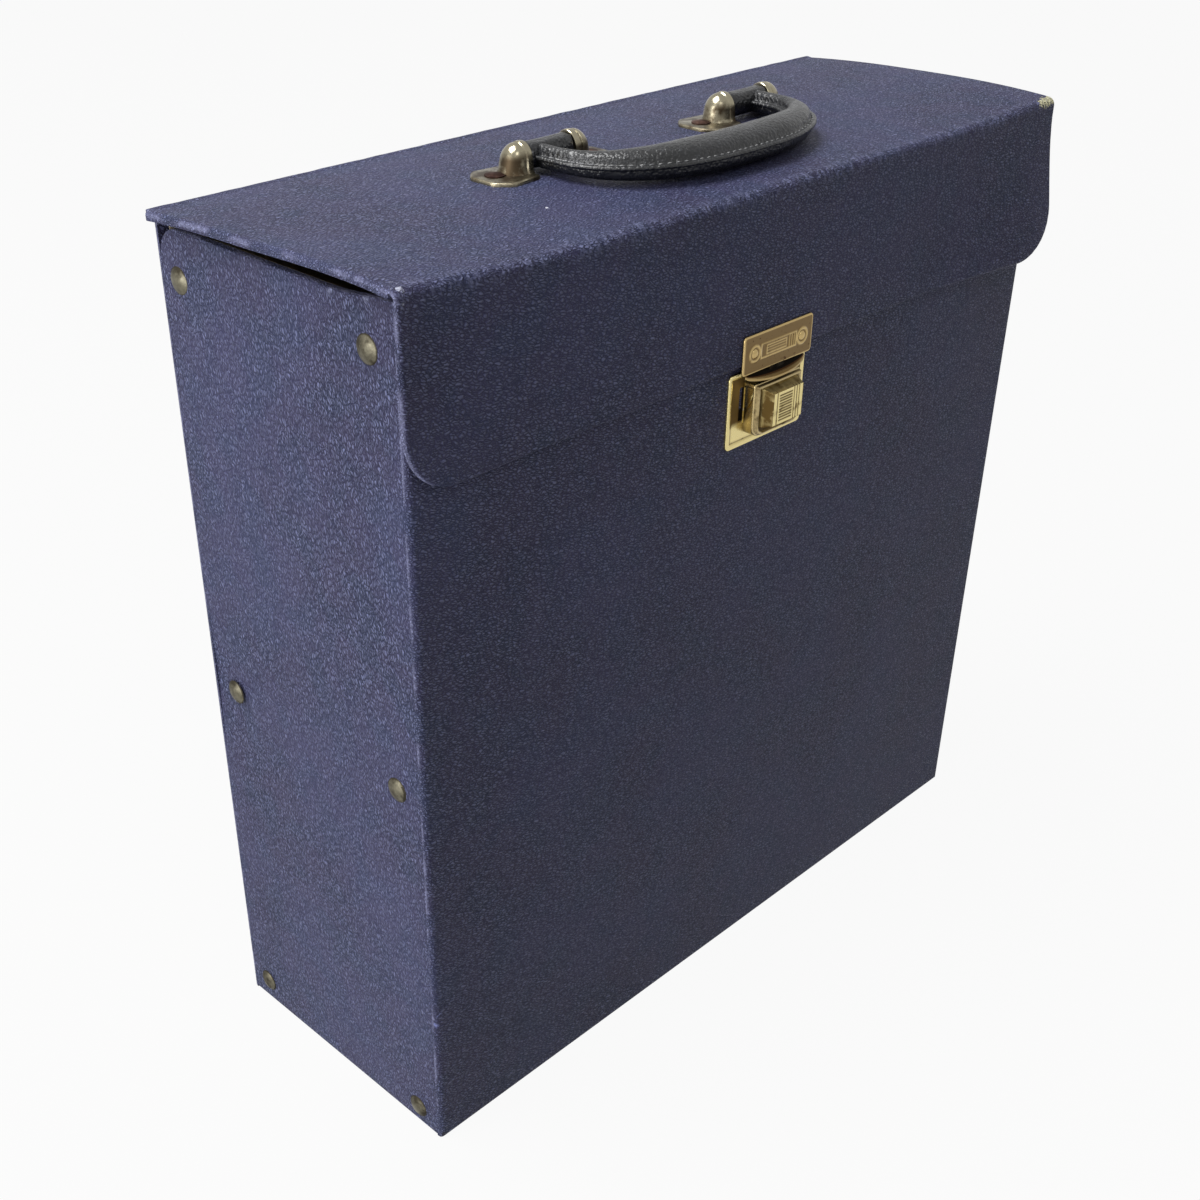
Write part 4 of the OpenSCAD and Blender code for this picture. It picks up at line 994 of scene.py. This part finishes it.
def grip_section(half, top, below):
    """The grip's skin at a row, as (outward, up) from its outer seam over the top and back below. Two
    leathers meet in a flat sewn edge on each side, with a crown above it and a belly below it."""
    edge = [(half - 0.05 * MM, -0.55 * SEAM_T), (half + 0.12 * MM, 0), (half - 0.05 * MM, 0.6 * SEAM_T),
            (half - 0.45 * MM, SEAM_T), (half - 0.75 * SEAM_W, SEAM_T * 1.05), (half - SEAM_W, SEAM_T * 0.85),
            (half - 1.25 * SEAM_W, SEAM_T * 1.25)]
    crown_half, crown_foot = half - 1.3 * SEAM_W, SEAM_T * 1.4
    belly_half, belly_foot = half - 1.2 * MM, 1.2 * SEAM_T
    turns = [(math.cos(math.pi * i / 16), math.sin(math.pi * i / 16)) for i in range(17)]
    crown = [(crown_half * c, crown_foot + (top - crown_foot) * s ** 0.9) for c, s in turns[1:16]]
    belly = [(-belly_half * math.copysign(abs(c) ** 0.8, c), -belly_foot - (below - belly_foot) * s ** 0.8)
             for c, s in turns]
    far_edge = [(-across, up) for across, up in reversed(edge)]
    return edge + crown + far_edge + belly


def on_grip(i, across, up):
    """A point outward of and above the grip's middle line at a row."""
    place, _, outward = grip_frame(i)
    return place + outward * across + Vector((0, 0, up))


def make_grip():
    """The grip: two leathers sewn edge to edge round a firm filling, as one closed skin."""
    sections = [grip_section(*grip_size(i)) for i in range(GRIP_ROWS + 1)]
    around = len(sections[0])
    bm = bmesh.new()
    bmesh.ops.create_grid(bm, x_segments=GRIP_ROWS, y_segments=around, size=1)
    for v in bm.verts:
        i = round((v.co.x + 1) / 2 * GRIP_ROWS)
        across, up = sections[i][round((v.co.y + 1) / 2 * around) % around]
        swell = 1 + 0.02 * noise.noise(Vector((i * 0.21, across * 180, up * 180)))
        v.co = on_grip(i, across * swell, up * swell)
    bmesh.ops.remove_doubles(bm, verts=bm.verts[:], dist=0.01 * MM)
    bmesh.ops.holes_fill(bm, edges=[e for e in bm.edges if e.is_boundary], sides=0)
    piece = finish_piece("handle_grip", bm, "handle", "handle_leather", LEATHER, crease=50)
    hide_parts("handle_top_cover", "handle_bottom_cover", "upper_handle_padding",
                "lower_handle_padding")


def make_stitching():
    """Saddle stitches in the groove along the grip's outer edge, 2.75 mm apart."""
    pitch, length, thick = 2.75 * MM, 1.9 * MM, 0.55 * MM
    count = int((GRIP_LENGTH - 16 * MM) / pitch)
    bm = bmesh.new()
    for k in range(count + 1):
        along = (GRIP_LENGTH - count * pitch) / 2 + k * pitch
        i = round(along / GRIP_LENGTH * GRIP_ROWS)
        _, ahead, _ = grip_frame(i)
        here = on_grip(i, grip_size(i)[0] - SEAM_W * 0.9, SEAM_T + 0.05 * MM)
        here += ahead * (along - i * GRIP_LENGTH / GRIP_ROWS)
        turn = Matrix.Rotation(math.atan2(ahead.y, ahead.x) + 0.12, 4, "Z")
        matrix = Matrix.Translation(here) @ turn @ Matrix.Diagonal((length / 2, thick / 2, thick / 2, 1))
        bmesh.ops.create_uvsphere(bm, u_segments=8, v_segments=6, radius=1, matrix=matrix)
    finish_piece("handle_stitching", bm, "handle", "handle_leather", THREAD)


def make_barrel(side):
    """The leather loop wound round a pin: a barrel with rolled ends and the lap of its last turn."""
    name = "left" if side < 0 else "right"
    low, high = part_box(f"{name}_handle_loop")
    half = (high.x - low.x) / 2
    radius = 4.5 * MM
    ends = [(1.7 * MM, 0), (radius - 1.0 * MM, 0), (radius - 0.3 * MM, 0.25 * MM), (radius, 0.9 * MM)]
    middle = [(radius - 0.12 * MM * math.sin(math.pi * i / 6), 0.9 * MM + (2 * half - 1.8 * MM) * i / 6)
              for i in range(1, 6)]
    profile = ends + middle + [(r, 2 * half - h) for r, h in reversed(ends)]
    bm = bmesh.new()
    matrix = Matrix.Translation((side * PAIR_X - half, 0, PIN_Z)) @ Matrix.Rotation(math.pi / 2, 4, "Y")
    lathe(bm, profile + [profile[0]], matrix, 40)
    # the lap: a low ridge along the barrel's upper front
    for v in bm.verts:
        turned = math.atan2(v.co.z - PIN_Z, v.co.y)
        out = Vector((0, v.co.y, v.co.z - PIN_Z))
        if out.length > 3 * MM:
            v.co += out.normalized() * 0.45 * MM * math.exp(-((turned - 2.2) / 0.25) ** 2)
    piece = finish_piece(f"{name}_handle_barrel", bm, "handle", "handle_leather", LEATHER)
    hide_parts(f"{name}_handle_loop")


# ---- Hasp ----

hasp_low, hasp_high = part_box("hasp_plate")
HASP_X = hasp_high.x
HASP_TOP = hasp_high.z
HASP_Z = HASP_TOP - 14.1 * MM
HASP_Y = FLAP_Y - 0.8 * MM
HASP_RIVET_X, HASP_RIVET_Z = 13 * MM, HASP_TOP - 7 * MM


def ridge(distance, width, height):
    """A pressed line: how high it stands at a distance from its middle."""
    return height * math.exp(-(distance / width) ** 2)


# The pressed pattern: a ring round each rivet, a long frame between them, and a panel in the frame
RING_R = 2.7 * MM
LONG_FRAME = (9.6 * MM, 2.5 * MM)
PANEL_X, PANEL = -1.2 * MM, (5.4 * MM, 1.5 * MM)
LINE_PITCH, BAR_PITCH = 1.0 * MM, 1.3 * MM
BARS_FROM, BARS_TO = 5.2 * MM, 9.2 * MM


def hasp_relief(x, z):
    """How high the pattern stands: the rings, the frame and panel, lines in the panel and bars beside it."""
    up = z - HASP_RIVET_Z
    raised = 0.0
    for side in (-1, 1):
        away = math.hypot(x - side * HASP_RIVET_X, up)
        raised += ridge(away - RING_R, 0.42 * MM, 0.42 * MM) - 0.15 * MM * smooth(1 - away / (2.4 * MM))
    outside_frame = max(abs(x) - LONG_FRAME[0], abs(up) - LONG_FRAME[1])
    if outside_frame < 0.6 * MM:
        raised = max(raised, ridge(outside_frame, 0.28 * MM, 0.30 * MM))
    outside_panel = max(abs(x - PANEL_X) - PANEL[0], abs(up) - PANEL[1])
    if outside_panel < 0.6 * MM:
        raised = max(raised, ridge(outside_panel, 0.25 * MM, 0.24 * MM))
    if outside_panel < -0.2 * MM:
        raised = max(raised, ridge(up % LINE_PITCH - LINE_PITCH / 2, 0.2 * MM, 0.2 * MM))
    if BARS_FROM < x < BARS_TO and abs(up) < 2.2 * MM:
        raised = max(raised, ridge((x - BARS_FROM) % BAR_PITCH - BAR_PITCH / 2, 0.24 * MM, 0.26 * MM))
    return raised


def make_hasp_face():
    """The hasp's plate, with its pattern pressed out from behind and tarnished between the lines."""
    outline = Outline((-HASP_X, HASP_Z), (HASP_X, HASP_TOP), (1.5 * MM,) * 4)

    def hollow_and_shade(x, z):
        low_lying = smooth(1 - hasp_relief(x, z) / (0.22 * MM))
        return 0.60 * low_lying * smooth(min(outline.inside(x, z)) / (0.8 * MM))

    bm = covered_board(outline, lambda x, z, n: (x, HASP_Y - n, z), 0.78 * MM, (0.5 * MM, 0.5 * MM),
                       0.32 * MM, hasp_relief, worn=0.8 * MM, extra=("hollow_and_shade", hollow_and_shade))
    piece = finish_piece("hasp_face", bm, "flap", "aged_brass", HASP, crease=60)
    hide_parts("hasp_plate")


def make_hasp_lip():
    """The lip below the plate: a curled leaf for the thumb, turned outwards, with painted shade under the
    plate that turns near black at its top.
    """
    lip_z, lip_out, lip_half = hasp_low.z + 0.4 * MM, FLAP_Y - hasp_low.y, 16.5 * MM
    top = HASP_Z + 0.3 * MM
    bm = bmesh.new()
    hollow_and_shade = bm.verts.layers.float.new("hollow_and_shade")
    bmesh.ops.create_grid(bm, x_segments=40, y_segments=16, size=1)
    for v in bm.verts:
        across, down = v.co.x, (1 - v.co.y) / 2
        # painted shade: darker towards the top, under the plate, and near black where the value passes 1.15
        v[hollow_and_shade] = 1.2 - 1.0 * smooth((down - 0.55) / 0.4)
        leaf = max(0.0, 1 - across * across)
        half = lip_half * (0.80 + 0.20 * math.sin(down * math.pi / 2))
        forward = (lip_out - 1.0 * MM) * down ** 1.7 * leaf ** 0.8
        drawn = (top - lip_z - 0.6 * MM) * (1 - (1 - down) ** 1.2) * (0.35 + 0.65 * leaf ** 0.5)
        v.co = (half * across, HASP_Y + 0.9 * MM - forward, top - drawn)
    bmesh.ops.solidify(bm, geom=bm.faces[:], thickness=0.75 * MM)
    round_off(bm, [e for e in bm.edges if e.calc_face_angle(0) > math.radians(50)], 0.18 * MM, 2)
    for face in bm.faces:
        face.material_index = int(sum(v[hollow_and_shade] for v in face.verts) / len(face.verts) > 1.15)
    finish_piece("hasp_lip", bm, "flap", "aged_brass", HASP, SHADE_BRASS, crease=50)


def make_hasp_tongue():
    """The tongue behind the lip, which points down at the lock and stops just above its tray."""
    bm = bmesh.new()
    size = Matrix.Diagonal((8 * MM, 0.8 * MM, 4.2 * MM, 1))
    middle = Matrix.Translation((0, HASP_Y + 0.4 * MM, hasp_low.z + 2.1 * MM))
    bmesh.ops.create_cube(bm, size=1, matrix=middle @ size)
    round_off(bm, bm.edges[:], 0.2 * MM, 2)
    # the whole tongue takes the near-black painted shade
    finish_piece("hasp_tongue", bm, "flap", "aged_brass", SHADE_BRASS)


def make_hasp_rivets():
    """Rivets in the middle of the rings."""
    bm = bmesh.new()
    head_r, shank_r, reach = 1.75 * MM, 1.2 * MM, 2.6 * MM
    profile = [(0, -reach), (shank_r, -reach), (shank_r, 0), (head_r, 0)] + dome(head_r, 0.85 * MM)
    for side in (-1, 1):
        turn = Matrix.Rotation(math.pi / 2, 4, "X")
        lathe(bm, profile, Matrix.Translation((side * HASP_RIVET_X, HASP_Y, HASP_RIVET_Z)) @ turn, 26)
    rub(bm, 0.7)
    piece = finish_piece("hasp_rivet_heads", bm, "flap", "aged_brass", HASP)
    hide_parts("hasp_rivets")


# ---- Lock ----

plate_low, plate_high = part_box("lock_base_plate")
casing_low, casing_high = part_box("lock_casing")
button_low, button_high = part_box("lock_button")
PLATE_Y = casing_high.y
# The tray and the button stand a little further out than their solids, and the tray is narrower
LOCK_OUT = 1.5 * MM
CASING_Y = casing_low.y - LOCK_OUT
CASING_X = casing_high.x - 1.8 * MM
CASING_Z, CASING_TOP = casing_low.z, casing_high.z
BUTTON_X = button_high.x - 0.5 * MM
# The slots beside the tray, and the ears bent out of them
SLOT_X = CASING_X + 0.75 * MM
SLOT_W = 2.1 * MM
EAR_Z = CASING_TOP - 14.5 * MM
EAR_H = 13 * MM


def make_base_plate():
    """The lock's base: a raised border round a flat, with a slot on each side that an ear is bent out of."""
    half = plate_high.x
    outline = Outline((-half - 2.0 * MM, plate_low.z - 1.0 * MM), (half, plate_high.z), (2 * MM,) * 4)

    def in_slot(x, z):
        across = min(abs(x) - SLOT_X, SLOT_X + SLOT_W - abs(x))
        along = min(z - EAR_Z, EAR_Z + EAR_H - z)
        return smooth(min(across, along) / (0.35 * MM))

    def relief(x, z):
        border = 0.42 * MM * smooth((2.1 * MM - min(outline.inside(x, z))) / (0.45 * MM))
        return border - 0.5 * MM * in_slot(x, z)

    def hollow_and_shade(x, z):
        """Brown beside the tray above the ears' feet, dark along the border, and painted shade in the slots.
        """
        inward = min(outline.inside(x, z))
        browned = smooth((inward - 2.0 * MM) / (0.5 * MM)) * smooth((z - EAR_Z + 1.5 * MM) / (3 * MM))
        beside = smooth((abs(x) - CASING_X) / (0.8 * MM))
        corner = math.exp(-((inward - 2.35 * MM) / (0.3 * MM)) ** 2)
        return min(1.6, 0.95 * browned * beside + 0.8 * corner + 1.6 * in_slot(x, z))

    # the slots' faces take the near-black painted shade
    bm = covered_board(outline, lambda x, z, n: (x, PLATE_Y - n, z), FRONT_Y - PLATE_Y + 0.05 * MM,
                       (0.45 * MM, 0.45 * MM), 0.45 * MM, relief, worn=2.4 * MM, extra=("hollow_and_shade", hollow_and_shade),
                       inlay=lambda x, z: in_slot(x, z) > 0.5)
    piece = finish_piece("lock_plate", bm, "case", "bright_brass", BRIGHT, SHADE_BRASS, crease=60)
    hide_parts("lock_base_plate")


def make_ears():
    """The two ears, bent forward out of the plate: wide at the top and drawn in towards the foot."""
    bm = bmesh.new()
    for side in (-1, 1):
        sheet = bmesh.new()
        bmesh.ops.create_grid(sheet, x_segments=6, y_segments=16, size=1)
        for v in sheet.verts:
            forward, up = (v.co.x + 1) / 2, (v.co.y + 1) / 2
            wide = (0.6 + 3.4 * smooth(up * 1.1)) * MM
            curved = 0.5 * MM * math.sin(math.pi * up) * forward
            x, y = SLOT_X - 0.45 * MM + curved, PLATE_Y + 0.2 * MM - wide * forward
            v.co = (side * x, y, EAR_Z + EAR_H * up)
        bmesh.ops.solidify(sheet, geom=sheet.faces[:], thickness=0.5 * MM)
        bmesh.ops.recalc_face_normals(sheet, faces=sheet.faces[:])
        part = bpy.data.meshes.new("ear")
        sheet.to_mesh(part)
        sheet.free()
        bm.from_mesh(part)
        bpy.data.meshes.remove(part)
    rub(bm, 0.8)
    finish_piece("lock_plate_ears", bm, "case", "bright_brass", BRIGHT)


def make_casing():
    """The drawn tray that holds the button: stepped sides, round lower corners and a flat top flange."""
    outline = Outline((-CASING_X, CASING_Z), (CASING_X, CASING_TOP), (4.2 * MM, 4.2 * MM, 1 * MM, 1 * MM))

    def relief(x, z):
        inward = min(outline.inside(x, z))
        step = -1.1 * MM * smooth((0.9 * MM - inward) / (0.3 * MM))
        lip = 0.25 * MM * math.exp(-((inward - 1.4 * MM) / (0.35 * MM)) ** 2)
        well = -0.8 * MM * smooth((inward - 1.9 * MM) / (0.3 * MM))
        return step + lip + well

    def hollow_and_shade(x, z):
        inward = min(outline.inside(x, z))
        on_step, in_well = smooth((1.1 * MM - inward) / (0.4 * MM)), smooth((inward - 1.8 * MM) / (0.4 * MM))
        return 0.62 * on_step + 0.8 * in_well

    bm = covered_board(outline, lambda x, z, n: (x, CASING_Y - n, z), PLATE_Y - CASING_Y + 0.1 * MM,
                       (0.6 * MM, 0.6 * MM), 0.5 * MM, relief, worn=0.8 * MM, extra=("hollow_and_shade", hollow_and_shade))
    piece = finish_piece("lock_casing_tray", bm, "case", "aged_brass", AGED, crease=50)
    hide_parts("lock_casing")


def make_springs():
    """Two coiled springs of thin wire under the slider's lugs. On the lock they shorten as the button goes
    down; here they keep one length.
    """
    low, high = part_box("lock_springs")
    wire_r, turns, travel = 0.17 * MM, 8, 2 * MM
    coil_r = (high.y - low.y) / 2 - wire_r
    rise = high.z - low.z - 2 * wire_r
    bm = bmesh.new()
    for side in (-1, 1):
        middle = Vector((side * (high.x - coil_r - wire_r), (low.y + high.y) / 2, low.z + wire_r))
        turn = Matrix.Translation(middle + Vector((coil_r, 0, 0))) @ Matrix.Rotation(math.pi / 2, 4, "X")
        ring = bmesh.ops.create_circle(bm, cap_ends=True, segments=6, radius=wire_r, matrix=turn)["verts"]
        cap = ring[0].link_faces[0]
        steps = turns * 14
        bmesh.ops.spin(bm, geom=[cap] + list(cap.edges) + ring, cent=middle, axis=(0, 0, 1),
                       dvec=(0, 0, rise / steps), angle=2 * math.pi * turns, steps=steps)
    piece = finish_piece("lock_spring_coils", bm, "case", "steel", STEEL)
    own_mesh(piece)
    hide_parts("lock_springs")


BUTTON_BEVEL = 1.7 * MM
# Grooves across the button's face, which leave ribs between them, and the flutes up and down beside them
GROOVES = 10
RIB_PITCH, RIB_GROOVE, RIB_DEPTH = 1.02 * MM, 0.42 * MM, 0.22 * MM
RIB_MIDDLE, RIB_HALF_W = -1.2 * MM, 3.9 * MM
FLUTES_X = (-5.9 * MM, 3.4 * MM, 4.8 * MM, 6.2 * MM)
FLUTE_GROOVE, FLUTE_HALF_H = 0.42 * MM, 6.3 * MM


def groove(value, width):
    """1 in the middle of a groove of that width, 0 beside it, with steep sides."""
    return smooth((width / 2 - abs(value)) / (0.08 * MM) + 0.5)


def make_button():
    """The push button: a flat-topped pyramid with ribs across its middle and flutes beside them."""
    face_y = button_low.y + 0.3 * MM - LOCK_OUT
    depth = button_high.y - face_y
    middle_z = (button_low.z + button_high.z) / 2
    outline = Outline((-BUTTON_X, button_low.z), (BUTTON_X, button_high.z), (0.8 * MM,) * 4)
    grooves_z = [middle_z + (k - (GROOVES - 1) / 2) * RIB_PITCH for k in range(GROOVES)]

    def cut_in(x, z):
        """How deep the grooves go at a point of the face, from 0 to 1."""
        across = max(groove(z - at, RIB_GROOVE) for at in grooves_z)
        across *= smooth((RIB_HALF_W - abs(x - RIB_MIDDLE)) / (0.1 * MM))
        down = max(groove(x - at, FLUTE_GROOVE) for at in FLUTES_X)
        return max(across, down * smooth((FLUTE_HALF_H - abs(z - middle_z)) / (0.2 * MM)))

    def relief(x, z):
        inward = min(outline.inside(x, z))
        if inward < BUTTON_BEVEL:
            return -(depth - 0.9 * MM) * (1 - inward / BUTTON_BEVEL)
        return -RIB_DEPTH * cut_in(x, z)

    def hollow_and_shade(x, z):
        inward = min(outline.inside(x, z))
        if inward < BUTTON_BEVEL:
            return 0.65 + waves(x, z, 2 * MM, 0.4)
        return 0.8 * cut_in(x, z)

    # the grid is cut at the foot and the rim of every groove wall, at the ribs' ends and at the bevel
    walls = [-0.5, -0.36, 0.36, 0.5]
    fine_z = [at + RIB_GROOVE * share for at in grooves_z for share in walls]
    fine_z += [button_low.z + BUTTON_BEVEL, button_high.z - BUTTON_BEVEL]
    fine_x = [at + FLUTE_GROOVE * share for at in FLUTES_X for share in walls]
    fine_x += [RIB_MIDDLE - RIB_HALF_W, RIB_MIDDLE + RIB_HALF_W]
    fine_x += [-BUTTON_X + BUTTON_BEVEL, BUTTON_X - BUTTON_BEVEL]
    bm = covered_board(outline, lambda x, z, n: (x, face_y - n, z), depth, (0.15 * MM, 0.15 * MM), 0.4 * MM,
                       relief, (fine_x, fine_z), worn=0.5 * MM, extra=("hollow_and_shade", hollow_and_shade))
    piece = finish_piece("lock_push_button", bm, "lock_button", "bright_brass", BRIGHT, crease=30)
    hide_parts("lock_button")


make_body()
make_lid()
make_hinge()
for end_side in (-1, 1):
    make_end_rivets(end_side)
    make_barrel(end_side)
for bracket in ("left_outer", "left_inner", "right_inner", "right_outer"):
    make_bracket(bracket)
make_bracket_rivets()
make_grip()
make_stitching()
make_hasp_face()
make_hasp_lip()
make_hasp_tongue()
make_hasp_rivets()
make_base_plate()
make_ears()
make_casing()
make_springs()
make_button()

# The solids that stay in sight get the finish of their slot
for subpart in frame["record"]["subparts"]:
    shown = frame["nodes"][subpart["node"]]
    shown.data.materials.clear()
    shown.data.materials.append(SLOT_MATERIALS[subpart["material_slot"]])
